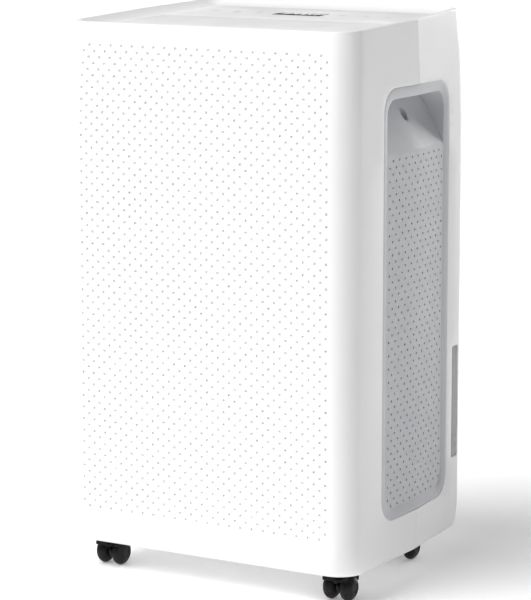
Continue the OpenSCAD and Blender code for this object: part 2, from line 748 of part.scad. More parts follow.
tray_x = 128;
tray_y0 = 46;
tray_y1 = 114;
tray_z0 = 266;
tray_z1 = 284;
cup_y0 = tray_y1 + 6;
spigot_r = 7.5;
spigot_bore = 5.5;
module drip_tray() {
  color([0.85, 0.85, 0.85]) difference() {
    union() {
      translate([-tray_x, tray_y0, tray_z0]) cube([2 * tray_x, tray_y1 - tray_y0, tray_z1 - tray_z0]);
      translate([0, spout_y, tank_z1 + 6]) cylinder(r = 8, h = tray_z0 - tank_z1 - 6, $fn = 40);
    }
    translate([-tray_x + 2, tray_y0 + 2, tray_z0 + 2])
      cube([2 * tray_x - 4, tray_y1 - tray_y0 - 4, tray_z1]);
    translate([0, spout_y, tank_z1]) cylinder(r = 6, h = 40, $fn = 40);
    translate([drain_x, tray_y1 - 5, drain_z - 1]) rotate([-90, 0, 0])
      cylinder(r = spigot_bore, h = 10, $fn = 40);
  }
}
// Drain outlet: a hose spigot inside a round cup that is flush with the rear
module drain_spigot() {
  color([0.85, 0.85, 0.85]) translate([drain_x, 0, drain_z]) rotate([-90, 0, 0]) difference() {
    union() {
      translate([0, 0, cup_y0]) cylinder(r = drain_cup_r, h = body_d / 2 - cup_y0, $fn = 60);
      translate([0, 0, tray_y1]) cylinder(r = spigot_r, h = cup_y0 - tray_y1, $fn = 48);
    }
    translate([0, 0, cup_y0 + 2]) difference() {
      cylinder(r = drain_cup_r - 1.5, h = 60, $fn = 60);
      translate([0, 0, -1]) cylinder(r = spigot_r, h = body_d / 2 - cup_y0 - 4, $fn = 48);
    }
    translate([0, 0, tray_y1 - 1]) cylinder(r = spigot_bore, h = 60, $fn = 40);
  }
}

// ---- Electrics ----

box_x0 = -124;
box_x1 = -22;
box_y0 = -116;
box_y1 = -22;
box_z1 = 196;
module electronics_box() {
  color([0.2, 0.2, 0.2]) difference() {
    translate([box_x0, box_y0, foot_z]) cube([box_x1 - box_x0, box_y1 - box_y0, box_z1 - foot_z]);
    translate([box_x0 + 2, box_y0 + 2, foot_z + 2])
      cube([box_x1 - box_x0 - 4, box_y1 - box_y0 - 4, box_z1]);
  }
}
module electronics_lid() {
  color([0.2, 0.2, 0.2]) translate([box_x0, box_y0, box_z1])
    cube([box_x1 - box_x0, box_y1 - box_y0, 2.4]);
}
module run_capacitor() {
  color(aluminium) translate([-80, -69, box_z1 + 2.4]) {
    cylinder(r = 20, h = 60, $fn = 64);
    for (x = [-6, 6]) translate([x - 2, -0.5, 60]) cube([4, 1, 6]);
  }
}

front_shell();
rear_shell();
top_deck();
top_panel();
display_window();
control_board();
touch_springs();
side_grille_right();
side_grille_left();
pocket_screws();
base_pan();
housing_screws();
bulkhead();
level_window_right();
level_window_left();
cord_gland();
caster_fl_hood();
caster_fl_pins();
caster_fl_wheel_a();
caster_fl_wheel_b();
caster_fr_hood();
caster_fr_pins();
caster_fr_wheel_a();
caster_fr_wheel_b();
caster_rl_hood();
caster_rl_pins();
caster_rl_wheel_a();
caster_rl_wheel_b();
caster_rr_hood();
caster_rr_pins();
caster_rr_wheel_a();
caster_rr_wheel_b();
water_tank();
tank_cover();
tank_lid();
tank_float();
tank_float_pin();
filter_frame();
filter_mesh();
compressor();
compressor_feet();
compressor_nuts();
evaporator_fins();
evaporator_tubes();
condenser_fins();
condenser_tubes();
discharge_pipe();
suction_pipe();
filter_drier();
fan_motor();
fan_shaft();
fan_impeller();
fan_scroll();
drip_tray();
drain_spigot();
electronics_box();
electronics_lid();
run_capacitor();
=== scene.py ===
"""Looks of a free-standing dehumidifier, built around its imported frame."""

import math

import bmesh
import bpy
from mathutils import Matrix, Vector
from mathutils.geometry import delaunay_2d_cdt


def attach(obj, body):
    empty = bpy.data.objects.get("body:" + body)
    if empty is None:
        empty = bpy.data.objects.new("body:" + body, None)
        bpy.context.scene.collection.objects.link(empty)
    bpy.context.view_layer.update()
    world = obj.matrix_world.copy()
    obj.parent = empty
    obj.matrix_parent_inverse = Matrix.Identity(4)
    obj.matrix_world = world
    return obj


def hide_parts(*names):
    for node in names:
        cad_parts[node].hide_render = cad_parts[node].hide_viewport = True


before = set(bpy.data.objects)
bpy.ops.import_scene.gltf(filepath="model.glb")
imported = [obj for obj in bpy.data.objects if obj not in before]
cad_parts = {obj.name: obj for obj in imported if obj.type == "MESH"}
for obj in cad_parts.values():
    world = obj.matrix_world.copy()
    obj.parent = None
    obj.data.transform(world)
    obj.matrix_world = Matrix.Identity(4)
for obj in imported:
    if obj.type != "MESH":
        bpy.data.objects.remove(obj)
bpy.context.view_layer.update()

# ---- Sizes in millimetres, the same as the CAD model's ----

MM = 0.001
BODY_W, BODY_D, BODY_H = 350.0, 286.0, 604.0
GROUND_GAP = 33.0
WALL = 2.6
RIM_R, EDGE_R = 1.3, 0.45  # roundings of the shells at the rim and at their other edges
FRONT_R, REAR_R = 28.0, 24.0
TAPER = math.radians(5)
SEAM_Y = 8.0
RIM_SLOPE = 0.0375
DECK_DROP = 6.2
LEAN_Z0, LEAN_Z1, LEAN_POWER = 457.0, BODY_H - 10, 2.6  # the walls lean in between these heights
SIDE_LEAN, FRONT_LEAN, REAR_LEAN = 4.0, 8.0, 5.0
CURL_H, SIDE_CURL, FRONT_CURL, REAR_CURL = 33.0, 4.0, 12.0, 6.0
FRONT_CASTER, REAR_CASTER = (142.0, -106.0), (121.0, 74.0)  # where the right casters swivel
STRETCH_Z = 573.0  # above it the wall's height is stretched to meet the sloping rim
RIM_ZONE = 3.0  # height of the band below the rim that is rounded
RIM_LOWERED = 0.05  # keeps the rounded rim inside the CAD model's box
INNER_R = 2.0  # least radius of a corner inside the wall

# Lengths along half of the outline, from the middle of the front to that of the rear
FRONT_FLAT = BODY_W / 2 - FRONT_R
SIDE_START = FRONT_FLAT + FRONT_R * math.pi / 2
SEAM_U = SIDE_START + SEAM_Y + BODY_D / 2 - FRONT_R
REAR_ARC_Y = BODY_D / 2 - REAR_R
TAPER_LEN = (REAR_ARC_Y + REAR_R * math.sin(TAPER) - SEAM_Y) / math.cos(TAPER)
REAR_ARC_U = SEAM_U + TAPER_LEN
REAR_FLAT_U = REAR_ARC_U + REAR_R * (math.pi / 2 - TAPER)
REAR_X = BODY_W / 2 - TAPER_LEN * math.sin(TAPER) - REAR_R * math.cos(TAPER)
HALF_U = REAR_FLAT_U + REAR_X


def lean(z):
    """How far the walls have leaned in at height z; it is 1 at LEAN_Z1."""
    return 0.0 if z <= LEAN_Z0 else ((z - LEAN_Z0) / (LEAN_Z1 - LEAN_Z0)) ** LEAN_POWER


def curl(z):
    """How far the lower edge has curled in at height z, from 0 at its top to 1 at its bottom."""
    t = min(1.0, max(0.0, (GROUND_GAP + CURL_H - z) / CURL_H))
    return 1 - math.sqrt(1 - t * t)


def mix(a, b, t):
    """The value at t on the way from a to b."""
    return a + (b - a) * t


def outline_point(u, z, depth):
    """Where the body's outline is at u along it, at height z and a depth below the surface."""
    u = (u + HALF_U) % (2 * HALF_U) - HALF_U
    sign, u = (1, u) if u >= 0 else (-1, -u)
    turned = curl(z)
    depth *= 1 - turned
    side = BODY_W / 2 - SIDE_CURL * turned - SIDE_LEAN * lean(z) - depth
    front_r, rear_r = max(INNER_R, FRONT_R - depth), max(INNER_R, REAR_R - depth)
    front = -BODY_D / 2 + FRONT_CURL * turned + FRONT_LEAN * lean(z) + depth + front_r
    rear = BODY_D / 2 - REAR_CURL * turned - REAR_LEAN * lean(z) - depth - rear_r
    rear_x = side - (rear + rear_r * math.sin(TAPER) - SEAM_Y) * math.tan(TAPER) - rear_r * math.cos(TAPER)
    if u < FRONT_FLAT:
        x, y = u / FRONT_FLAT * (side - front_r), front - front_r
    elif u < SIDE_START:
        a = (u - FRONT_FLAT) / FRONT_R
        x, y = side - front_r + front_r * math.sin(a), front - front_r * math.cos(a)
    elif u < SEAM_U:
        x, y = side, mix(front, SEAM_Y, (u - SIDE_START) / (SEAM_U - SIDE_START))
    elif u < REAR_ARC_U:
        t = (u - SEAM_U) / TAPER_LEN
        x = mix(side, rear_x + rear_r * math.cos(TAPER), t)
        y = mix(SEAM_Y, rear + rear_r * math.sin(TAPER), t)
    elif u < REAR_FLAT_U:
        a = TAPER + (u - REAR_ARC_U) / REAR_R
        x, y = rear_x + rear_r * math.cos(a), rear + rear_r * math.sin(a)
    else:
        x, y = rear_x * (HALF_U - u) / REAR_X, rear + rear_r
    return sign * x, y


def rim_z(y):
    """Height of the rim at y; it rises towards the rear."""
    return BODY_H - (BODY_D / 2 - y) * RIM_SLOPE


def body_point(u, v, depth):
    """A point of the body's wall; v is its height, stretched near the top to end at the rim."""
    z = v
    if v > STRETCH_Z:
        rim = rim_z(outline_point(u, BODY_H - 2 * RIM_ZONE, 0)[1]) - RIM_LOWERED
        z = STRETCH_Z + (v - STRETCH_Z) * (rim - STRETCH_Z) / (BODY_H - STRETCH_Z)
    x, y = outline_point(u, z, depth)
    z += depth * max(0.0, (GROUND_GAP + CURL_H - z) / CURL_H)
    return x, y, z


def side_point(w, z, depth):
    """A point of the right side, with w measured along it and equal to y before the seam."""
    past = max(0.0, w - SEAM_Y)
    return (BODY_W / 2 - past * math.sin(TAPER) - depth, min(w, SEAM_Y) + past * math.cos(TAPER), z)


# ---- Meshes ----


PIT_SIDES = 12
MITRE_LIMIT = 0.6  # least cosine used where two edges meet, so that sharp corners don't spread


class Mesh:
    """Vertices in millimetres and faces, collected before they become one object."""

    def __init__(self):
        self.verts, self.faces = [], []

    def add(self, verts, faces):
        n = len(self.verts)
        self.verts += [tuple(v) for v in verts]
        self.faces += [tuple(i + n for i in f) for f in faces]

    def loft(self, rings, closed=True, caps=True):
        """Joins rings of equal length; a closed ring meets itself, and caps close both ends."""
        n = len(rings[0])
        faces = []
        for r in range(len(rings) - 1):
            for k in range(n if closed else n - 1):
                m = (k + 1) % n
                faces.append((r * n + k, r * n + m, (r + 1) * n + m, (r + 1) * n + k))
        if caps:
            faces += [tuple(reversed(range(n))), tuple(range((len(rings) - 1) * n, len(rings) * n))]
        self.add([p for ring in rings for p in ring], faces)

    def spin(self, profile, centre, axis, steps):
        """Turns a profile of (radius, distance along the axis) about an axis through centre."""
        units, first = ((1, 0, 0), (0, 1, 0), (0, 0, 1)), "xyz".index(axis)
        along, across, up = (units[(first + k) % 3] for k in range(3))
        rings = []
        for k in range(steps):
            a = math.tau * k / steps
            out = [math.cos(a) * p + math.sin(a) * q for p, q in zip(across, up)]
            rings.append([tuple(c + d * i + r * o for c, i, o in zip(centre, along, out)) for r, d in profile])
        self.loft(rings + [rings[0]], closed=False, caps=False)

    def block(self, low, high, bevel=0.4):
        """A box with chamfered edges."""
        x0, y0, z0 = low
        x1, y1, z1 = high
        b = bevel
        rings = []
        for z, inset in ((z0, b), (z0 + b, 0), (z1 - b, 0), (z1, b)):
            ax, bx, ay, by = x0 + inset, x1 - inset, y0 + inset, y1 - inset
            ring = [(ax + b, ay), (bx - b, ay), (bx, ay + b), (bx, by - b)]
            ring += [(bx - b, by), (ax + b, by), (ax, by - b), (ax, ay + b)]
            rings.append([(x, y, z) for x, y in ring])
        self.loft(rings)


def triangulate(loops, lines, pits=()):
    """Triangles of the first loop less the other loops and pits, following the lines."""
    verts, faces, edges = [], [], []
    for loop in list(loops) + list(pits):
        turn = sum(a[0] * b[1] - b[0] * a[1] for a, b in zip(loop, list(loop[1:]) + [loop[0]]))
        loop = loop if turn > 0 else list(reversed(loop))
        faces.append(list(range(len(verts), len(verts) + len(loop))))
        verts += [Vector(p) for p in loop]
        if len(faces) == len(loops):
            first_pit = len(verts)
    ends = len(verts)
    for line in lines:
        edges += [(len(verts) + k, len(verts) + k + 1) for k in range(len(line) - 1)]
        verts += [Vector(p) for p in line]
    coords, _, tris, source, _, origin = delaunay_2d_cdt(verts, edges, faces, 0, 1e-5, True)
    in_pit = {i for i, s in enumerate(source) if any(first_pit <= k < ends for k in s)}
    return coords, [t for t, o in zip(tris, origin) if o == [0]], in_pit


def edge_normals(coords, tris, skip):
    """Edges that bound the triangles, and at each of their ends the direction out of the material."""
    sides = {(t[k], t[(k + 1) % 3]) for t in tris for k in range(3)}
    rim = [e for e in sides if (e[1], e[0]) not in sides and not (e[0] in skip and e[1] in skip)]
    normals = {}
    for a, b in sorted(rim):
        d = (coords[b] - coords[a]).normalized()
        for k in (a, b):
            normals.setdefault(k, []).append(Vector((d.y, -d.x)))
    out = {}
    for k, ns in normals.items():
        total = sum(ns, Vector((0, 0))).normalized()
        out[k] = total / max(MITRE_LIMIT, total.dot(ns[0]))
    return sorted(rim), out


def skin(mesh, loops, place, wall, lines=(), pits=(), pit=None, edge=0.5, steps=2, near=None):
    """A closed sheet of even thickness: a flat pattern laid on place(u, v, depth), with rounded edges.

    Pits are (centre, radius) of blind holes, and pit is their profile of (radius factor, depth).
    near(u, v) can give another edge radius than edge, and steps is the number of its facets."""
    edge_at = near or (lambda u, v: edge)
    rings = [circle(cu, cv, radius, PIT_SIDES) for (cu, cv), radius in pits]
    coords, tris, in_pit = triangulate(loops, lines, rings)
    mesh.add([place(c.x, c.y, 0) for c in coords], tris)
    rim, normals = edge_normals(coords, tris, in_pit)
    inner, inner_tris, _ = triangulate(loops, lines)
    mesh.add([place(c.x, c.y, wall) for c in inner], [tuple(reversed(t)) for t in inner_tris])
    index, verts = {}, []
    angles = [math.pi / 2 * s / steps for s in range(steps + 1)]
    for k in sorted(normals):
        index[k] = len(verts)
        p, n = coords[k], normals[k]
        e = min(edge_at(p.x, p.y), wall / 2)
        turn = [(e * math.sin(a), e * (1 - math.cos(a))) for a in angles]
        for out, down in turn + [(o, wall - d) for o, d in reversed(turn)]:
            verts.append(place(p.x + n.x * out, p.y + n.y * out, down))
    faces = []
    for a, b in rim:
        for r in range(2 * steps + 1):
            faces.append((index[b] + r, index[a] + r, index[a] + r + 1, index[b] + r + 1))
    mesh.add(verts, faces)
    for ((cu, cv), radius), ring in zip(pits, rings):
        rows = [[place(cu + (u - cu) * f, cv + (v - cv) * f, d) for u, v in ring] for f, d in pit]
        mesh.loft(rows, caps=False)
        # The floor of the pit is a shallow cone
        floor = [(k, (k + 1) % PIT_SIDES, PIT_SIDES) for k in range(PIT_SIDES)]
        mesh.add(rows[-1] + [place(cu, cv, pit[-1][1] + 0.1)], floor)


MERGE, DEGENERATE = 2e-6, 1e-7  # distances in metres below which vertices are one, and edges are nothing


def piece(name, mesh, material, body="housing", stands_for=(), sharp=35):
    """Turns a Mesh into an object that rides on a CAD body; edges over sharp degrees stay sharp."""
    data = bpy.data.meshes.new(name)
    data.from_pydata([Vector(v) * MM for v in mesh.verts], [], mesh.faces)
    bm = bmesh.new()
    bm.from_mesh(data)
    bmesh.ops.remove_doubles(bm, verts=bm.verts, dist=MERGE)
    bmesh.ops.dissolve_degenerate(bm, edges=bm.edges, dist=DEGENERATE)
    bmesh.ops.recalc_face_normals(bm, faces=bm.faces)
    bm.to_mesh(data)
    bm.free()
    data.polygons.foreach_set("use_smooth", [True] * len(data.polygons))
    data.set_sharp_from_angle(angle=math.radians(sharp))
    obj = bpy.data.objects.new(name, data)
    bpy.context.scene.collection.objects.link(obj)
    data.materials.append(material)
    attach(obj, body)
    if stands_for:
        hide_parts(*stands_for)
    return obj


def mirrored(mesh):
    """The same mesh on the other side of the body."""
    out = Mesh()
    out.verts = [(-x, y, z) for x, y, z in mesh.verts]
    out.faces = [tuple(reversed(f)) for f in mesh.faces]
    return out


def rounded(x0, y0, x1, y1, r, steps=8):
    """A rectangle with rounded corners, anticlockwise from the lower side's right end."""
    points = []
    corners = ((x1 - r, y0 + r, -90), (x1 - r, y1 - r, 0), (x0 + r, y1 - r, 90), (x0 + r, y0 + r, 180))
    for cx, cy, start in corners:
        for k in range(steps + 1):
            a = math.radians(start + 90 * k / steps)
            points.append((cx + r * math.cos(a), cy + r * math.sin(a)))
    return points


def grown(x0, y0, x1, y1, by, r, steps=8):
    """A rounded rectangle that reaches further by the same distance on every side."""
    return rounded(x0 - by, y0 - by, x1 + by, y1 + by, r, steps)


def circle(x, y, r, n=32):
    return [(x + r * math.cos(k * math.tau / n), y + r * math.sin(k * math.tau / n)) for k in range(n)]


def span(a, b, step):
    """Numbers from a to b in even steps, no longer than step."""
    n = max(1, math.ceil(abs(b - a) / step))
    return [mix(a, b, k / n) for k in range(n + 1)]


def towards(a, b, n):
    """Points at the starts of n even steps from a to b."""
    return [(mix(a[0], b[0], k / n), mix(a[1], b[1], k / n)) for k in range(n)]


def dense_line(a, b, step):
    """Points from a to b in even steps, no longer than step."""
    return towards(a, b, max(1, math.ceil(math.dist(a, b) / step))) + [b]


# ---- Materials ----


class Nodes:
    """A Principled material and short ways to add nodes to it."""

    def __init__(self, name, color, roughness, **values):
        self.material = bpy.data.materials.new(name)
        self.material.use_nodes = True
        self.tree = self.material.node_tree
        self.shader = self.tree.nodes["Principled BSDF"]
        self.color = (*color, 1)
        self.shader.inputs["Base Color"].default_value = self.color
        self.shader.inputs["Roughness"].default_value = roughness
        for key, value in values.items():
            self.shader.inputs[key.replace("_", " ")].default_value = value
        self.coords = self.tree.nodes.new("ShaderNodeTexCoord")

    def node(self, kind, **inputs):
        """Adds a node, whose inputs are given values or joined to other nodes' outputs."""
        node = self.tree.nodes.new("ShaderNode" + kind)
        for key, value in inputs.items():
            socket = node.inputs[key.replace("_", " ")]
            if isinstance(value, bpy.types.NodeSocket):
                self.tree.links.new(value, socket)
            else:
                socket.default_value = value
        return node

    def noise(self, scale, detail=3.0, stretch=None):
        source = self.coords.outputs["Object"]
        if stretch:
            source = self.node("Mapping", Scale=stretch, Vector=source).outputs["Vector"]
        return self.node("TexNoise", Scale=scale, Detail=detail, Vector=source).outputs["Fac"]

    def cells(self, scale):
        return self.node("TexVoronoi", Scale=scale, Vector=self.coords.outputs["Object"]).outputs["Distance"]

    def scaled(self, value, low, high):
        """Turns the middle of a noise's range into low to high."""
        node = self.node("MapRange", From_Min=0.3, From_Max=0.7, To_Min=low, To_Max=high, Value=value)
        return node.outputs["Result"]

    def tint(self, value, darker):
        """Varies the base colour between itself and itself times darker."""
        ramp = self.node("ValToRGB", Fac=value)
        dark, light = ramp.color_ramp.elements
        dark.position, light.position = 0.3, 0.7
        dark.color = (*(c * darker for c in self.color[:3]), 1)
        light.color = self.color
        self.tree.links.new(ramp.outputs["Color"], self.shader.inputs["Base Color"])

    def rough(self, value):
        self.tree.links.new(value, self.shader.inputs["Roughness"])

    def bump(self, value, strength, distance):
        node = self.node("Bump", Strength=strength, Distance=distance, Height=value)
        self.tree.links.new(node.outputs["Normal"], self.shader.inputs["Normal"])


def varied(name, color, roughness, tint=None, rough=None, bump=None, **values):
    """A material that varies with noise: each of tint, rough and bump starts with its scale and detail.

    Tint goes on with a factor, rough with the two ends of the roughness, bump with strength and height."""
    m = Nodes(name, color, roughness, **values)
    if tint:
        m.tint(m.noise(*tint[:2]), tint[2])
    if rough:
        m.rough(m.scaled(m.noise(*rough[:2]), *rough[2:]))
    if bump:
        m.bump(m.noise(*bump[:2]), *bump[2:])
    return m.material


def moulded(name, color, roughness, grain=0.25, darker=0.97, **values):
    """Injection-moulded plastic: a fine spark-eroded grain, and sheen that varies a little."""
    sheen = (40, 3, roughness - 0.06, roughness + 0.06)
    return varied(name, color, roughness, (9, 4, darker), sheen, (2600, 2, grain, 0.00004), **values)


def brushed(name, color, roughness, stretch):
    """Metal with fine lines along one direction."""
    m = Nodes(name, color, roughness, Metallic=1.0)
    lines = m.noise(900, 2, stretch)
    m.tint(m.noise(30, 3), 0.85)
    m.rough(m.scaled(lines, roughness - 0.1, roughness + 0.1))
    m.bump(lines, 0.2, 0.00002)
    return m.material


WHITE = moulded("white_plastic", (0.89, 0.89, 0.89), 0.42, darker=0.985)
GREY = moulded("grey_plastic", (0.57, 0.575, 0.6), 0.5, darker=0.96)
INNER = moulded("inner_plastic", (0.72, 0.73, 0.74), 0.5)
BLACK = moulded("black_plastic", (0.03, 0.03, 0.032), 0.45, grain=0.4, darker=0.8)
CASTER = moulded("caster_plastic", (0.008, 0.008, 0.009), 0.36, grain=0.3, darker=0.8, Specular_IOR_Level=0.25)
TREAD = moulded("wheel_plastic", (0.007, 0.007, 0.008), 0.42, grain=0.35, darker=0.8, Specular_IOR_Level=0.25)
PRINT = moulded("printed_grey", (0.6, 0.61, 0.63), 0.5)


def board_material():
    m = Nodes("circuit_board", (0.03, 0.16, 0.07), 0.35)
    m.tint(m.cells(180), 0.7)
    return m.material


GLASS = varied(
    "black_glass", (0.006, 0.006, 0.008), 0.08, (14, 3, 0.6), (60, 4, 0.05, 0.13),
    Coat_Weight=0.6, Coat_Roughness=0.03,
)  # fmt: skip
WINDOW = varied(
    "smoked_window", (0.3, 0.3, 0.31), 0.22, (20, 3, 0.85), (70, 3, 0.16, 0.28), Transmission_Weight=0.12, IOR=1.5
)
TANK = varied("clear_tank", (0.86, 0.89, 0.92), 0.45, rough=(12, 3, 0.42, 0.5), Transmission_Weight=0.4, IOR=1.5)
NET = varied("filter_net", (0.13, 0.135, 0.15), 0.6, (700, 3, 0.7), bump=(4000, 2, 0.5, 0.00005), Sheen_Weight=0.2)
BOARD = board_material()
RUBBER = varied("rubber", (0.03, 0.03, 0.03), 0.8, rough=(200, 4, 0.7, 0.9), bump=(1500, 3, 0.5, 0.0001))
ENAMEL = varied("black_enamel", (0.015,) * 3, 0.25, (60, 4, 0.7), bump=(350, 3, 0.25, 0.0002), Coat_Weight=0.4)
STEEL = brushed("steel", (0.6, 0.61, 0.63), 0.32, (1, 8, 1))
FIN = brushed("fin_aluminium", (0.75, 0.76, 0.77), 0.35, (1, 1, 12))
COPPER = brushed("copper", (0.72, 0.36, 0.2), 0.35, (6, 1, 1))
LIT = varied(
    "lit_marks", (0.8, 0.82, 0.85), 0.4, (300, 2, 0.9), Emission_Color=(0.9, 0.95, 1, 1), Emission_Strength=0.9
)
MOTOR = moulded("motor_steel", (0.3, 0.31, 0.33), 0.4, Metallic=0.7)

CAD_MATERIALS = [
    (BOARD, "control_board"),
    (ENAMEL, "compressor"),
    (RUBBER, "compressor_feet"),
    (TANK, "water_tank"),
    (MOTOR, "fan_motor"),
    (FIN, "condenser_fins run_capacitor"),
    (COPPER, "evaporator_tubes condenser_tubes discharge_pipe suction_pipe filter_drier"),
    (BLACK, "base_pan cord_gland fan_impeller electronics_box electronics_lid"),
    (INNER, "bulkhead fan_scroll drip_tray drain_spigot tank_lid tank_float"),
    (STEEL, "touch_springs pocket_screws compressor_nuts fan_shaft tank_float_pin"),
    (STEEL, "caster_fl_pins caster_fr_pins caster_rl_pins caster_rr_pins"),
]


def dress_cad_nodes():
    for material, names in CAD_MATERIALS:
        for name in names.split():
            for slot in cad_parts[name].material_slots:
                slot.material = material


# ---- Side grille openings, shared by the shells and the grilles ----

GRILLE_Y0, GRILLE_Y1 = -71.0, 91.0
GRILLE_Z0, GRILLE_Z1, GRILLE_CORNER = 77.5, 532.0, 26.0
BEZEL_FRONT, BEZEL_REAR, BEZEL_LOW, BEZEL_HIGH = 12.0, 11.0, 11.5, 12.0
OPENING = (GRILLE_Y0 + BEZEL_FRONT, GRILLE_Z0 + BEZEL_LOW, GRILLE_Y1 - BEZEL_REAR, GRILLE_Z1 - BEZEL_HIGH)
OPENING_R = 18.0
GRILLE_SINK = 2.8
POCKET_Z0, POCKET_Z1, POCKET_DEPTH = 464.0, 517.0, 32.0
SIDE_U = SEAM_U - SEAM_Y  # what turns w, along the side, into u, along the outline
SEAM_GAP, SEAM_EDGE = 0.4, 0.2
SEAM_HALF = SEAM_GAP / 2 + SEAM_EDGE  # from the seam's middle to where a shell is flat again
SHELL_TOP = BODY_H - RIM_R
LOOP_STEP = 6  # between the points of the shells' long edges


def bite(w_seam, front):
    """Half of the grille's frame opening, from its lower to its upper end at the seam, as (u, v)."""
    loop = rounded(GRILLE_Y0, GRILLE_Z0, GRILLE_Y1, GRILLE_Z1, GRILLE_CORNER, 10)
    half = [p for p in loop if (p[0] < w_seam - 1 if front else p[0] > w_seam + 1)]
    middle = (GRILLE_Z0 + GRILLE_Z1) / 2
    half.sort(key=lambda p: math.atan2(p[0] - w_seam, middle - p[1]), reverse=front)
    path = [(w_seam, GRILLE_Z0)] + half + [(w_seam, GRILLE_Z1)]
    # Points along the long upright edge keep the triangles short
    dense, step = [], 12
    for a, b in zip(path, path[1:]):
        dense += towards(a, b, max(1, int(math.dist(a, b) / step)))
    return [(w + SIDE_U, z) for w, z in dense + [path[-1]]]


def shell_lines(u0, u1, uprights, leans):
    """Lines that the shell's triangles follow: across where it curves up and down, upright round corners."""
    across = [GROUND_GAP + CURL_H * (1 - math.sin(math.radians(a))) for a in range(0, 90, 9)]
    across += leans
    lines = [dense_line((u0, v), (u1, v), 14) for v in across]
    return lines + [dense_line((u, GROUND_GAP), (u, SHELL_TOP), 9) for u in uprights]


def rim_round(u, v):
    """The shell's upper edge is fully rounded; its other edges are only broken, least at the seam."""
    if v > BODY_H - RIM_ZONE:
        return RIM_R
    at_seam = min(abs(abs(u) - SEAM_U), abs(2 * HALF_U - SEAM_U - u)) < 1
    return SEAM_EDGE if at_seam else EDGE_R


def beside_seam(u, opening):
    """Lines close beside a seam, above and below the grille's opening, that keep the shading flat."""
    low, high = min(v for _, v in opening), max(v for _, v in opening)
    ends = ((GROUND_GAP, low - 0.5), (high + 0.5, SHELL_TOP))
    return [dense_line((u, a), (u, b), LOOP_STEP) for a, b in ends]


def closed_path(*parts):
    """One loop through rows of points in turn, with even steps from each row to the next."""
    loop = []
    for part, following in zip(parts, parts[1:] + parts[:1]):
        loop += part + dense_line(part[-1], following[0], LOOP_STEP)[1:-1]
    return loop


def edge_line(u0, u1, v):
    """A shell's lower or upper edge."""
    return dense_line((u0, v), (u1, v), LOOP_STEP)


# ---- Front shell with its field of dimples ----

ROWS, ROW_PITCH, ROW_MIDDLE = 79, 6.353, 322.0
COLUMNS, COLUMN_PITCH = 45, 6.75
DIMPLE_R, DIMPLE_EDGE = 1.6, 0.2
DIMPLE = [(1.0, 0.0), (0.87, 0.2), (0.83, 1.2), (0.6, 1.8)]
STEM_HOLE_R = 6.4


def dimple_places():
    """Places of the staggered rows: every other column, and the next row the columns between."""
    for row in range(ROWS):
        v = ROW_MIDDLE + (ROWS // 2 - row) * ROW_PITCH
        for column in range((row + 1) % 2, COLUMNS, 2):
            yield (column - COLUMNS // 2) * COLUMN_PITCH, v


def bottom_plate(mesh, front):
    """The part of the flat underside that belongs to one shell, with holes for the caster stems."""
    u0, u1 = (-SEAM_U, SEAM_U) if front else (SEAM_U, 2 * HALF_U - SEAM_U)
    steps = 90
    rim = [outline_point(mix(u0, u1, k / steps), GROUND_GAP, 0) for k in range(steps + 1)]
    limit, seam = (min, SEAM_Y - SEAM_GAP / 2) if front else (max, SEAM_Y + SEAM_GAP / 2)
    rim = [(x, limit(y, seam)) for x, y in rim]
    x, y = FRONT_CASTER if front else REAR_CASTER
    holes = [circle(s * x, y, STEM_HOLE_R, 24) for s in (-1, 1)]
    skin(mesh, [rim] + holes, lambda a, b, d: (a, b, GROUND_GAP + d), WALL, edge=0.4)


def front_shell():
    mesh = Mesh()
    u1 = SEAM_U - SEAM_HALF
    right = bite(SEAM_Y - SEAM_HALF, True)
    left = [(-u, v) for u, v in reversed(right)]
    loop = closed_path(edge_line(-u1, u1, GROUND_GAP), right, edge_line(u1, -u1, SHELL_TOP), left)
    # Lines between the rows of dimples where the wall leans, and round the two front corners
    middles = [ROW_MIDDLE + (ROWS / 2 - row) * ROW_PITCH for row in range(ROWS)]
    leans = [v for v in middles if v > LEAN_Z0] + span(STRETCH_Z + 4, BODY_H - RIM_ZONE, 4)
    corner = [mix(FRONT_FLAT, SIDE_START, k / 10) for k in range(11)]
    lines = shell_lines(-u1, u1, corner + [-u for u in corner], leans)
    lines += beside_seam(u1 - 1, right) + beside_seam(1 - u1, right)
    pits = [(p, DIMPLE_R + DIMPLE_EDGE) for p in dimple_places()]
    skin(mesh, [loop], body_point, WALL, lines, pits, DIMPLE, near=rim_round)
    bottom_plate(mesh, True)
    piece("front_cover", mesh, WHITE, "housing", ["front_shell"])


# ---- Rear shell ----

FILTER_W, FILTER_Z0, FILTER_Z1 = 250.0, 300.0, 500.0
COVER_W, COVER_Z0, COVER_Z1 = 276.0, 74.0, 256.0
WINDOW_Y0, WINDOW_Y1, WINDOW_Z0, WINDOW_Z1 = 106.0, 122.0, 114.0, 237.0
DRAIN_X, DRAIN_Z, CUP_R = -112.0, 280.0, 15.0
GLAND_X, GLAND_R = 112.0, 9.0
REAR_SCREWS, SCREW_WELL_R = [(130.0, 540.0), (132.0, 270.0)], 4.3
REAR_GAP, WINDOW_GAP = 1.0, 0.3  # round the filter and the tank, and round a level window


def along_rear(y):
    """Length along the outline of a place at y on the tapered side or the rear corner."""
    straight = SEAM_U + (y - SEAM_Y) / math.cos(TAPER)
    if straight <= REAR_ARC_U:
        return straight
    return REAR_ARC_U + REAR_R * (math.asin(min(1, (y - REAR_ARC_Y) / REAR_R)) - TAPER)


WINDOW_U0, WINDOW_U1 = along_rear(WINDOW_Y0), along_rear(WINDOW_Y1)


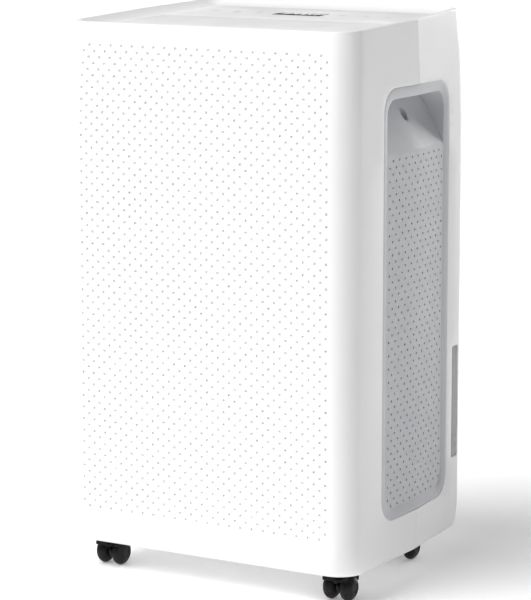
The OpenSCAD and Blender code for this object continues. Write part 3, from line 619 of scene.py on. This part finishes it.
def rear_shell():
    mesh = Mesh()
    u0 = SEAM_U + SEAM_HALF
    u1 = 2 * HALF_U - u0
    right = bite(SEAM_Y + SEAM_HALF, False)
    left = [(2 * HALF_U - u, v) for u, v in right]
    loop = closed_path(edge_line(u0, u1, GROUND_GAP), left, edge_line(u1, u0, SHELL_TOP), right[::-1])
    half_filter, half_cover = FILTER_W / 2, COVER_W / 2
    openings = [
        grown(-half_filter, FILTER_Z0, half_filter, FILTER_Z1, REAR_GAP + EDGE_R, 5, 4),
        grown(-half_cover, COVER_Z0, half_cover, COVER_Z1, REAR_GAP + EDGE_R, 4, 4),
        circle(DRAIN_X, DRAIN_Z, CUP_R + 0.3 + EDGE_R, 40),
        circle(GLAND_X, DRAIN_Z, GLAND_R + 0.2 + EDGE_R, 32),
    ]
    openings += [circle(s * x, z, SCREW_WELL_R + EDGE_R, 24) for s in (-1, 1) for x, z in REAR_SCREWS]
    holes = [[(HALF_U - x, z) for x, z in opening] for opening in openings]
    strip = grown(WINDOW_U0, WINDOW_Z0, WINDOW_U1, WINDOW_Z1, WINDOW_GAP + EDGE_R, 2.5, 4)
    holes += [strip, [(2 * HALF_U - u, v) for u, v in strip]]
    uprights = [mix(REAR_ARC_U, REAR_FLAT_U, k / 9) for k in range(10)]
    uprights += [2 * HALF_U - u for u in uprights]
    leans = span(LEAN_Z0 + 5, STRETCH_Z - 5, 8) + span(STRETCH_Z + 2, BODY_H - RIM_ZONE, 5)
    lines = shell_lines(u0, u1, uprights, leans)
    lines += beside_seam(u0 + 1, right) + beside_seam(u1 - 1, right)
    skin(mesh, [loop] + holes, body_point, WALL, lines, near=rim_round)
    bottom_plate(mesh, False)
    piece("rear_cover", mesh, WHITE, "housing", ["rear_shell"])


def level_windows():
    mesh = Mesh()
    a, b = WINDOW_U0, WINDOW_U1
    edge, sunk, thick = 0.4, 0.35, 2.2
    loop = grown(a, WINDOW_Z0, b, WINDOW_Z1, -edge, 2.3, 5)
    lines = [dense_line((u, WINDOW_Z0), (u, WINDOW_Z1), 10) for u in (mix(a, b, k / 6) for k in range(1, 6))]
    skin(mesh, [loop], lambda u, v, d: body_point(u, v, d + sunk), thick, lines, edge=edge)
    # A ladder of level marks on the inner side
    first, pitch, half = 14, 12, 0.5
    for k in range(9):
        z = WINDOW_Z0 + first + k * pitch
        start, end = mix(a, b, 0.25), mix(a, b, 0.75 if k % 4 == 0 else 0.5)
        ring = [(start, z - half), (end, z - half), (end, z + half), (start, z + half)]
        mesh.loft([[body_point(u, v, d) for u, v in ring] for d in (2.4, 2.9)])
    piece("level_strip_right", mesh, WINDOW, "housing", ["level_window_right"])
    piece("level_strip_left", mirrored(mesh), WINDOW, "housing", ["level_window_left"])


# ---- Side grilles: sloped frame, perforated face and handle pocket ----

GRILLE_ROWS, GRILLE_ROW_PITCH, GRILLE_MIDDLE = 53, 7.0, 274.6
GRILLE_PITCH, GRILLE_CENTRE_W = 7.07, 11.5
GRILLE_COLUMNS, GRILLE_HOLE_R, GRILLE_HOLE_EDGE = 21, 1.3, 0.15
GRILLE_MARGIN = 2.4  # least distance of a hole's middle from the opening's edge
GRILLE_WALL, FRAME_GAP = 2.2, 0.4
SCREW_R, SCREW_STRETCH, SHANK_R = 6.5, 1.25, 2.2
SCREW_W, SCREW_Z = 15.5, mix(POCKET_Z0, POCKET_Z1, 0.66)
RAMP_SLOPE = (POCKET_DEPTH - GRILLE_SINK) / (POCKET_Z1 - POCKET_Z0)
RAMP_BEND = 3.0  # half the height over which the face bends into the pocket's ramp
CREASE_EASE = 25.0  # half the width over which the side's crease is eased on the face
# The frame's slope from its outer edge to the opening, as (part of the way, depth)
FRAME_PROFILE = [(0.0, 3.0), (0.0, 1.0), (0.025, 0.62), (0.08, 0.42)]
FRAME_PROFILE += [(0.3, 0.55), (0.6, 1.15), (0.85, 2.05), (0.96, 2.6), (1.0, GRILLE_SINK)]


def face_depth(z):
    """Depth of the grille's face, and of the pocket's ramp above it, below the side."""
    rise = z - POCKET_Z0
    if rise <= -RAMP_BEND:
        return GRILLE_SINK
    if rise < RAMP_BEND:
        return GRILLE_SINK + RAMP_SLOPE * (rise + RAMP_BEND) ** 2 / (4 * RAMP_BEND)
    return min(GRILLE_SINK + RAMP_SLOPE * rise, POCKET_DEPTH)


def inside_opening(w, z, margin):
    """True if a point is inside the opening by a margin."""
    x0, z0, x1, z1 = (side + sign * margin for side, sign in zip(OPENING, (1, 1, -1, -1)))
    if not (x0 < w < x1 and z0 < z < z1):
        return False
    r = OPENING_R - margin
    dx = max(x0 + r - w, w - x1 + r, 0)
    dz = max(z0 + r - z, z - z1 + r, 0)
    return math.hypot(dx, dz) <= r


def grille_holes():
    """Middles of the staggered holes that lie on the face, clear of its edge and of the ramp."""
    for row in range(GRILLE_ROWS):
        z = GRILLE_MIDDLE - (row - GRILLE_ROWS // 2) * GRILLE_ROW_PITCH
        for column in range(row % 2, GRILLE_COLUMNS, 2):
            w = GRILLE_CENTRE_W + (column - GRILLE_COLUMNS // 2) * GRILLE_PITCH
            if inside_opening(w, z, GRILLE_MARGIN) and z < POCKET_Z0 - RAMP_BEND - 1:
                yield w, z


def grille_point(w, z, depth):
    """A point of the grille: like side_point at the frame, and further in with the side's crease eased."""
    ease = CREASE_EASE * min(1.0, depth / GRILLE_SINK)
    past = w - SEAM_Y
    if abs(past) < ease:
        past = (past + ease) ** 2 / (4 * ease)
    past = max(0.0, past)
    return BODY_W / 2 - past * math.sin(TAPER) - depth, w - past * (1 - math.cos(TAPER)), z


def side_grille():
    mesh = Mesh()
    # Frame: it starts just inside the shell's edge, and slopes in smoothly to the opening
    corner = GRILLE_CORNER - FRAME_GAP
    outer = dense_loop(grown(GRILLE_Y0, GRILLE_Z0, GRILLE_Y1, GRILLE_Z1, -FRAME_GAP, corner, 10))
    inner = dense_loop(rounded(*OPENING, OPENING_R, 10))

    def between(t, depth):
        return [grille_point(mix(o[0], i[0], t), mix(o[1], i[1], t), depth) for o, i in zip(outer, inner)]

    rings = [between(t, depth) for t, depth in FRAME_PROFILE]
    # Sides of the opening down to the face or the ramp
    rings.append([grille_point(w, z, max(GRILLE_SINK, face_depth(z) - 0.01)) for w, z in inner])
    rings.append([grille_point(w, z, face_depth(z) + GRILLE_WALL) for w, z in inner])
    rings += [between(0.9, 5.0), between(0, 3.4)]
    mesh.loft(rings + [rings[0]], caps=False)
    # Face and ramp in one sheet, with a long hole round the screw's head
    holes = [circle(w, z, GRILLE_HOLE_R + GRILLE_HOLE_EDGE, 12) for w, z in grille_holes()]
    slope = math.atan(RAMP_SLOPE)
    squash = math.cos(slope) * SCREW_STRETCH
    holes.append([(w, SCREW_Z + (z - SCREW_Z) * squash) for w, z in circle(SCREW_W, SCREW_Z, SCREW_R, 40)])
    w0, z0, w1, _ = OPENING
    bends = [POCKET_Z0 + RAMP_BEND * k / 2 for k in range(-2, 3)]
    lines = [dense_line((w0, z), (w1, z), 12) for z in bends + [POCKET_Z1]]
    lines += [dense_line((w0, z), (w1, z), 8) for z in span(POCKET_Z0 + 8, POCKET_Z1 - 4, 6)]
    for w in (mix(w0, w1, (k + 0.5) / 9) for k in range(9)):
        lines.append(dense_line((w, z0), (w, POCKET_Z1), 8))

    def face(w, z, d):
        return grille_point(w, z, face_depth(z) + d)

    skin(mesh, [inner] + holes, face, GRILLE_WALL, lines, edge=GRILLE_HOLE_EDGE, steps=1)
    # Well round the screw's head, square to the ramp, as (radius, depth)
    x, y, z = grille_point(SCREW_W, SCREW_Z, face_depth(SCREW_Z))
    sin, cos = math.sin(slope), math.cos(slope)
    profile = [(SCREW_R - 0.05, 1.2), (SCREW_R - 0.3, 11.0), (SHANK_R, 11.0), (SHANK_R, 13.0)]
    profile += [(SCREW_R + 1.2, 13.0), (SCREW_R + 1.2, 1.2)]
    well = []
    for radius, depth in profile:
        turn = [(across, up * SCREW_STRETCH) for across, up in circle(0, 0, radius, 40)]
        well.append([(x - cos * depth - sin * up, y + across, z - sin * depth + cos * up) for across, up in turn])
    mesh.loft(well + [well[0]], caps=False)
    return mesh


def dense_loop(loop):
    """The same closed loop with extra points on its long sides, the same number on every call."""
    out = []
    for k, a in enumerate(loop):
        b = loop[(k + 1) % len(loop)]
        n = 1
        if math.dist(a, b) > 30:
            n = 16 if abs(b[0] - a[0]) > abs(b[1] - a[1]) else 46
        out += towards(a, b, n)
    return out


def side_grilles():
    mesh = side_grille()
    piece("grille_right", mesh, GREY, "housing", ["side_grille_right"])
    piece("grille_left", mirrored(mesh), GREY, "housing", ["side_grille_left"])


# ---- Top: dished deck, panel, display and touch icons ----

PANEL_X, PANEL_Y0, PANEL_Y1 = 138.0, -106.0, 8.0
DISPLAY_W, DISPLAY_D, DISPLAY_Y0 = 60.0, 26.0, 50.0
DISPLAY_MIDDLE = DISPLAY_Y0 + DISPLAY_D / 2
DISPLAY_PLACE = (-DISPLAY_W / 2, DISPLAY_Y0, DISPLAY_W / 2, DISPLAY_Y0 + DISPLAY_D)
DECK_EDGE, DECK_FLAT = 5.0, 26.0  # distances inside the wall where the dish starts and ends
DECK_WALL, DECK_ARRIS = 2.4, 0.2  # thickness of the deck, and rounding of its cut-outs
PANEL_GROOVE, DISPLAY_GROOVE = 0.75, 0.15


def top_outline(inset):
    """The body's outline at the rim, inset by a distance, anticlockwise from the middle of the front."""
    step, corner_steps = 20, 14
    marks = span(0, FRONT_FLAT, step)[:-1]
    marks += [mix(FRONT_FLAT, SIDE_START, k / corner_steps) for k in range(corner_steps)]
    marks += span(SIDE_START, SEAM_U, step)[:-1] + span(SEAM_U, REAR_ARC_U, step)[:-1]
    marks += [mix(REAR_ARC_U, REAR_FLAT_U, k / corner_steps) for k in range(corner_steps)]
    marks += span(REAR_FLAT_U, HALF_U, step)
    return [outline_point(u, BODY_H - 10, inset) for u in marks + [-u for u in reversed(marks[1:-1])]]


def dish_drop(distance):
    """How far the deck lies below the rim, at a distance inside the wall's outer side."""
    if distance <= DECK_EDGE:
        return 0.9 * max(0.0, (4.2 - distance) / 1.5) ** 2
    t = min(1.0, (distance - DECK_EDGE) / (DECK_FLAT - DECK_EDGE))
    return DECK_DROP * (1 - (1 - t) ** 2.3)


def deck_z(y, drop):
    """Height of a place at y that lies a drop below the rim."""
    return rim_z(y) - drop


def top_deck():
    mesh = Mesh()
    distances = [2.75, 3.1, 3.6, 4.2, 5.0, 5.8, 6.8, 8.0, 9.5, 11.5, 14.0, 17.0, 20.0, 23.0, DECK_FLAT]
    rings = [[(x, y, deck_z(y, dish_drop(d))) for x, y in top_outline(d)] for d in distances]
    low = DECK_DROP + DECK_WALL
    under = [[(x, y, deck_z(y, low)) for x, y in top_outline(d)] for d in (DECK_FLAT, distances[0])]
    mesh.loft(rings, caps=False)
    mesh.loft(under + [rings[0]], caps=False)
    # Flat field with its cut-outs
    loops = [
        top_outline(DECK_FLAT),
        grown(-PANEL_X, PANEL_Y0, PANEL_X, PANEL_Y1, PANEL_GROOVE + DECK_ARRIS, 4, 6),
        grown(*DISPLAY_PLACE, DISPLAY_GROOVE + DECK_ARRIS, 2, 6),
    ]
    skin(mesh, loops, lambda x, y, d: (x, y, deck_z(y, DECK_DROP + d)), DECK_WALL, edge=DECK_ARRIS)
    piece("deck_dish", mesh, WHITE, "housing", ["top_deck"])


def plate_on_deck(x0, y0, x1, y1, r, drops, edge):
    """A plate that lies in the deck between two drops below the rim."""
    mesh = Mesh()
    loop = grown(x0, y0, x1, y1, -edge, r, 6)
    skin(mesh, [loop], lambda x, y, d: (x, y, deck_z(y, drops[0] + d)), drops[1] - drops[0], edge=edge)
    return mesh


def top_panel():
    mesh = plate_on_deck(-PANEL_X, PANEL_Y0, PANEL_X, PANEL_Y1, 3.6, (DECK_DROP, DECK_DROP + 1.4), 0.35)
    # A flange under the deck closes the groove round the panel
    g = 1.5
    drops = (DECK_DROP + 1.9, DECK_DROP + DECK_WALL - 0.05)
    flange = plate_on_deck(-PANEL_X - g, PANEL_Y0 - g, PANEL_X + g, PANEL_Y1 + g, 4, drops, 0.2)
    mesh.add(flange.verts, flange.faces)
    piece("deck_panel", mesh, WHITE, "housing", ["top_panel"])


def bar(mesh, a, b, width, drops):
    """A flat printed stroke on the deck from a to b."""
    scale = width / 2 / math.dist(a, b)
    dx, dy = (b[0] - a[0]) * scale, (b[1] - a[1]) * scale
    ring = [(x - side * dy, y + side * dx) for (x, y), side in ((a, 1), (a, -1), (b, -1), (b, 1))]
    mesh.loft([[(x, y, deck_z(y, d)) for x, y in ring] for d in drops])


def arc(mesh, centre, radius, start, end, width, drops, steps=24):
    """A flat printed arc on the deck, from start to end in degrees."""
    rings = []
    low, high = drops
    near, far = radius - width / 2, radius + width / 2
    for k in range(steps + 1):
        a = math.radians(mix(start, end, k / steps))
        ring = []
        for r, drop in ((near, low), (far, low), (far, high), (near, high)):
            x, y = centre[0] + r * math.cos(a), centre[1] + r * math.sin(a)
            ring.append((x, y, deck_z(y, drop)))
        rings.append(ring)
    mesh.loft(rings)


SEGMENTS = {  # the seven strokes of a digit, in half widths and half heights
    "a": ((-1, 2), (1, 2)), "b": ((1, 2), (1, 0)), "c": ((1, 0), (1, -2)), "d": ((-1, -2), (1, -2)),
    "e": ((-1, 0), (-1, -2)), "f": ((-1, 2), (-1, 0)), "g": ((-1, 0), (1, 0)),
}  # fmt: skip
DIGITS = {"4": "bcfg", "5": "acdfg"}


def display():
    glass = plate_on_deck(*DISPLAY_PLACE, 1.8, (DECK_DROP - 0.1, DECK_DROP + 2.3), 0.3)
    piece("display_glass", glass, GLASS, "housing", ["display_window"])
    marks = Mesh()
    drops = (DECK_DROP - 0.16, DECK_DROP - 0.08)
    middle = DISPLAY_MIDDLE
    # The two digits, with gaps between their strokes
    half_w, half_h, shrink = 2.6, 2.4, 0.86
    for digit, x in (("4", -6.0), ("5", 3.6)):
        for stroke in DIGITS[digit]:
            p, q = [(x + half_w * i * shrink, middle + half_h * j * shrink) for i, j in SEGMENTS[stroke]]
            bar(marks, p, q, 0.9, drops)
    # A percent sign, three lines, and two round signs
    arc(marks, (10.8, middle + 3.4), 1.0, 0, 360, 0.5, drops, 16)
    bar(marks, (9.4, middle - 4.4), (13.0, middle + 0.2), 0.5, drops)
    arc(marks, (13.0, middle - 3.4), 1.0, 0, 360, 0.5, drops, 16)
    for k in range(3):
        bar(marks, (-20, middle - 5 + 5 * k), (-15.5 + k, middle - 5 + 5 * k), 0.8, drops)
    arc(marks, (20, middle + 3.5), 1.9, 110, 430, 0.6, drops)
    bar(marks, (20, middle + 4.2), (20, middle + 6.4), 0.6, drops)
    arc(marks, (20, middle - 4), 1.9, 0, 360, 0.6, drops)
    piece("display_digits", marks, LIT, "housing")


def touch_icons():
    """Six plain printed signs: power, speed, drop, clock, plus and minus."""
    mesh = Mesh()
    drops = (DECK_DROP - 0.07, DECK_DROP + 0.05)
    y = DISPLAY_MIDDLE
    power, speed, drop, clock, plus, minus = -108, -80, -52, 52, 80, 108
    arc(mesh, (power, y), 4.2, 115, 425, 0.9, drops)
    bar(mesh, (power, y + 1.5), (power, y + 5.4), 0.9, drops)
    for k in range(3):
        arc(mesh, (speed, y), 2.0 + 1.7 * k, 30, 150, 0.8, drops)
        arc(mesh, (speed, y), 2.0 + 1.7 * k, 210, 330, 0.8, drops)
    arc(mesh, (drop, y - 1), 3.4, 150, 390, 0.9, drops)
    for side in (-2.95, 2.95):
        bar(mesh, (drop + side, y + 0.7), (drop, y + 5.2), 0.9, drops)
    arc(mesh, (clock, y), 4.4, 0, 360, 0.9, drops, 32)
    bar(mesh, (clock, y), (clock, y + 3), 0.8, drops)
    bar(mesh, (clock, y), (clock + 2.2, y), 0.8, drops)
    half = 4.4
    bar(mesh, (plus - half, y), (plus + half, y), 1.0, drops)
    bar(mesh, (plus, y - half), (plus, y + half), 1.0, drops)
    bar(mesh, (minus - half, y), (minus + half, y), 1.0, drops)
    piece("touch_icons", mesh, PRINT, "housing")


# ---- Casters ----

CASTERS = {
    end + side: (sign * x, y)
    for end, (x, y) in (("f", FRONT_CASTER), ("r", REAR_CASTER))
    for side, sign in (("l", -1), ("r", 1))
}
TRAIL, WHEEL_R, WHEEL_W, WHEEL_GAP = 8.0, 14.0, 15.0, 2.4
AXLE_HOLE_R, STEM_COLLAR_R = 2.55, 4.02
FENDER_R, FENDER_T = 15.2, 1.7
FENDER_ARC, FENDER_WAIST = (20, 148), 0.42  # its two ends in degrees, and how much it narrows there
HOOD_TOP = GROUND_GAP - 0.8


def wheel(x, y, side):
    """A barrelled wheel with two fine grooves beside its middle and a shallow cap on its outer side."""
    mesh = Mesh()
    profile = [(AXLE_HOLE_R, 0.0), (5.2, 0.0), (5.6, 0.4)]
    steps = 60
    for k in range(steps + 1):
        t = k / (steps / 2) - 1
        groove = 0.3 if 0.2 < abs(t) < 0.26 else 0.0
        profile.append((WHEEL_R * math.sqrt(1 - (t / 1.15) ** 2) - groove, WHEEL_W * k / steps))
    profile += [(5.4, WHEEL_W), (5.0, WHEEL_W - 0.5), (0.01, WHEEL_W - 0.5)]
    profile += [(0.01, WHEEL_W - 1.3), (AXLE_HOLE_R, WHEEL_W - 1.3), (AXLE_HOLE_R, 0.0)]
    mesh.spin([(r, side * (WHEEL_GAP + d)) for r, d in profile], (x, y + TRAIL, WHEEL_R), "x", 72)
    return mesh


def hood(x, y):
    """The cover over both wheels, with the rib that holds the axle and the plate round the stem."""
    mesh = Mesh()
    half, outer = WHEEL_GAP + WHEEL_W, FENDER_R + FENDER_T
    section = [(FENDER_R, -half + 0.6), (FENDER_R + 0.5, -half), (outer - 0.5, -half + 0.4), (outer, -half + 1.2)]
    section += [(outer, 0), (outer, half - 1.2), (outer - 0.5, half - 0.4), (FENDER_R + 0.5, half)]
    section += [(FENDER_R, half - 0.6), (FENDER_R, 0)]
    rows, steps = [], 32
    for k in range(steps + 1):
        a = math.radians(mix(*FENDER_ARC, k / steps))
        # The hood narrows towards its ends, as its wheels' domes do
        waist = 1 - FENDER_WAIST * (1 - max(0.0, math.sin(a)) ** 0.8)
        places = [(s * waist, r * math.cos(a), WHEEL_R + r * math.sin(a)) for r, s in section]
        rows.append([(x + dx, y + TRAIL + dy, min(z, HOOD_TOP)) for dx, dy, z in places])
    mesh.loft(rows)
    rib = WHEEL_GAP - 0.35
    disc = [(AXLE_HOLE_R, -rib), (6.7, -rib), (7.2, -rib + 0.5), (7.2, rib - 0.5), (6.7, rib)]
    mesh.spin(disc + [(AXLE_HOLE_R, rib), disc[0]], (x, y + TRAIL, WHEEL_R), "x", 48)
    # The rib runs before and behind the stem
    for y0, y1 in ((TRAIL - 12, TRAIL - 4.15), (4.15, 8.0)):
        mesh.block((x - rib, y + y0, WHEEL_R + 6), (x + rib, y + y1, HOOD_TOP - 1), 0.3)
    plate = [(STEM_COLLAR_R, HOOD_TOP - 3.2), (8.6, HOOD_TOP - 3.2), (9.0, HOOD_TOP - 2.8)]
    plate += [(9.0, HOOD_TOP - 0.5), (8.5, HOOD_TOP), (STEM_COLLAR_R, HOOD_TOP)]
    mesh.spin(plate + [plate[0]], (x, y, 0), "z", 48)
    return mesh


def casters():
    for tag, (x, y) in CASTERS.items():
        body = "caster_" + tag
        piece(body + "_cover", hood(x, y), CASTER, body, [body + "_hood"])
        for letter, side in (("a", -1), ("b", 1)):
            node, name = f"{body}_wheel_{letter}", f"{body}_roller_{letter}"
            piece(name, wheel(x, y, side), TREAD, node + "_body", [node], 40)


# ---- Rear: tank cover, filter, screws, evaporator ----

GRIP_W, GRIP_Z0, GRIP_Z1, GRIP_D = 110.0, 200.0, 232.0, 18.0
COVER_T = 3.0
TANK_Y1 = 120.0


def rear_place(y):
    """Places (u, v) of a rear pattern at x = -u, so that the outer side faces the rear."""
    return lambda u, v, d: (-u, y - d, v)


def grip_ring(by, depth):
    """The outline of the tank's grip, grown by a distance, at a depth below the rear."""
    outline = grown(-GRIP_W / 2, GRIP_Z0, GRIP_W / 2, GRIP_Z1, by, 8)
    return [(x, BODY_D / 2 - depth, z) for x, z in outline]


def tank_cover():
    mesh = Mesh()
    edge = 1.0
    loop = grown(-COVER_W / 2, COVER_Z0, COVER_W / 2, COVER_Z1, -edge, 3, 5)
    grip = grown(-GRIP_W / 2, GRIP_Z0, GRIP_W / 2, GRIP_Z1, 0.5, 8)
    skin(mesh, [loop, grip], rear_place(BODY_D / 2), COVER_T, edge=edge, steps=3)
    # The grip's tray: its inner side, then its outer side from the bottom up
    inner = [grip_ring(0.6, 1.4), grip_ring(0, 1.4), grip_ring(-0.6, 8.0)]
    inner += [grip_ring(-2.5, GRIP_D - 0.8), grip_ring(-6, GRIP_D)]
    outer = [grip_ring(0, GRIP_D + 2), grip_ring(1.6, GRIP_D - 1), grip_ring(1.8, 1.4)]
    for rings, floor in ((inner, inner[-1]), ([inner[0]] + outer[::-1], outer[0])):
        mesh.loft(rings, caps=False)
        mesh.add(floor, [tuple(range(len(floor)))])
    # Four pegs that hold the cover on the tank
    for x in (-100, 94):
        for z in (90, 180):
            mesh.block((x, TANK_Y1 + 0.02, z), (x + 6, BODY_D / 2 - COVER_T + 0.2, z + 20), 0.4)
    piece("tank_front_cover", mesh, WHITE, "tank", ["tank_cover"])


def air_filter():
    mesh = Mesh()
    edge = 0.7
    loop = grown(-FILTER_W / 2, FILTER_Z0, FILTER_W / 2, FILTER_Z1, -edge, 4, 5)
    holes = []
    border, slot_w, slot_h, pitch_x, pitch_z = 9, 55, 14, 59, 18.4
    for k in range(10):
        for m in range(4):
            x, z = -FILTER_W / 2 + border + m * pitch_x, FILTER_Z0 + border + k * pitch_z
            holes.append(grown(x, z, x + slot_w, z + slot_h, edge, 2.5, 4))
    skin(mesh, [loop] + holes, rear_place(BODY_D / 2 - 0.4), 5.0, edge=edge)
    # Pull tab at the top
    mesh.block((-16, BODY_D / 2 - 3.6, FILTER_Z1 - 7), (16, BODY_D / 2 - 0.1, FILTER_Z1 - 3), 0.8)
    piece("filter_grid", mesh, WHITE, "filter", ["filter_frame"])
    net = Mesh()
    inset = 3
    x0, x1, z0, z1 = inset - FILTER_W / 2, FILTER_W / 2 - inset, FILTER_Z0 + inset, FILTER_Z1 - inset
    thick, pitch, bevel, y = 0.35, 2.2, 0.08, 136.6
    for x in span(x0, x1 - thick, pitch):
        net.block((x, y, z0), (x + thick, y + 0.4, z1), bevel)
    for z in span(z0, z1 - thick, pitch):
        net.block((x0, y - 0.4, z), (x1, y, z + thick), bevel)
    piece("filter_weave", net, NET, "filter", ["filter_mesh"])


def evaporator():
    """The fin pack behind the filter, as thin pressed plates."""
    mesh = Mesh()
    half_w, y0, z0, z1 = 108, 88, 294, 558
    pitch, thick, wave_w, wave_d = 3.0, 0.25, 0.35, 4.0
    for x in span(-half_w, half_w, pitch):
        wave = [(x + wave_w * (-1) ** k, y0 + k * wave_d) for k in range(7)]
        ring = wave + [(a + thick, y) for a, y in reversed(wave)]
        mesh.loft([[(a, y, z) for a, y in ring] for z in (z0, z1)])
    piece("evaporator_fin_pack", mesh, FIN, "housing", ["evaporator_fins"])


# Profiles of a housing screw, as (radius, depth below the head's face)
SCREW_HEAD = [(0.01, 2.2), (4.0, 2.2), (4.0, 0.6), (3.4, 0), (1.9, 0), (1.7, 1.3), (0.01, 1.5)]
SCREW_SHANK = [(0.01, 2.1), (1.8, 2.1), (1.8, 17), (0.6, 18.4), (0.01, 18.4)]


def screws():
    mesh = Mesh()
    sunk = 1.8
    for s in (-1, 1):
        for x, z in REAR_SCREWS:
            centre = (s * x, 0, z)
            face = BODY_D / 2 - sunk - REAR_LEAN * lean(z)
            mesh.spin([(r, face - d) for r, d in SCREW_HEAD], centre, "y", 36)
            mesh.spin([(r, face - d) for r, d in SCREW_SHANK], centre, "y", 20)
    piece("rear_screws", mesh, STEEL, "housing", ["housing_screws"])


# ---- Stage, lights and camera ----


def stage():
    """A wide white floor, which glows a little so that the object's shadow stays faint."""
    size = 12.0
    data = bpy.data.meshes.new("floor")
    data.from_pydata([(-size, -size, 0), (size, -size, 0), (size, size, 0), (-size, size, 0)], [], [(0, 1, 2, 3)])
    floor = bpy.data.objects.new("floor", data)
    bpy.context.scene.collection.objects.link(floor)
    m = Nodes("floor_white", (0.9, 0.9, 0.9), 0.7, Emission_Color=(1, 1, 1, 1), Emission_Strength=0.22)
    data.materials.append(m.material)


def sun(name, direction, strength, spread):
    """A broad, even light from a direction, spread over an angle in degrees."""
    light = bpy.data.lights.new(name, "SUN")
    light.energy, light.angle = strength, math.radians(spread)
    obj = bpy.data.objects.new(name, light)
    obj.rotation_euler = Vector(direction).to_track_quat("Z", "Y").to_euler()
    bpy.context.scene.collection.objects.link(obj)


def lights():
    world = bpy.data.worlds.new("studio")
    world.use_nodes = True
    tree = world.node_tree
    # The studio's soft light on the object, and a plain white backdrop behind it
    soft, backdrop = tree.nodes["Background"], tree.nodes.new("ShaderNodeBackground")
    soft.inputs["Color"].default_value = backdrop.inputs["Color"].default_value = (1, 1, 1, 1)
    soft.inputs["Strength"].default_value = 0.14
    backdrop.inputs["Strength"].default_value = 1.1
    path, choose = tree.nodes.new("ShaderNodeLightPath"), tree.nodes.new("ShaderNodeMixShader")
    tree.links.new(path.outputs["Is Camera Ray"], choose.inputs["Fac"])
    tree.links.new(soft.outputs["Background"], choose.inputs[1])
    tree.links.new(backdrop.outputs["Background"], choose.inputs[2])
    tree.links.new(choose.outputs["Shader"], tree.nodes["World Output"].inputs["Surface"])
    bpy.context.scene.world = world
    bpy.context.scene.view_settings.view_transform = "Standard"
    sun("key", (-0.33, -0.52, 0.79), 3.4, 45)
    sun("back", (0.03, 0.98, 0.16), 1.7, 30)


def camera():
    """A long lens at the front right, looking a little down."""
    data = bpy.data.cameras.new("camera")
    data.lens, data.sensor_width = 164.82, 36.0
    obj = bpy.data.objects.new("camera", data)
    obj.location = (1.4859, -2.5243, 0.7966)
    obj.rotation_euler = (math.radians(90 - 9.812), 0, math.radians(30.601))
    bpy.context.scene.collection.objects.link(obj)
    bpy.context.scene.camera = obj


dress_cad_nodes()
front_shell()
rear_shell()
level_windows()
side_grilles()
top_deck()
top_panel()
display()
touch_icons()
casters()
tank_cover()
air_filter()
evaporator()
screws()
stage()
lights()
camera()

bpy.context.view_layer.update()
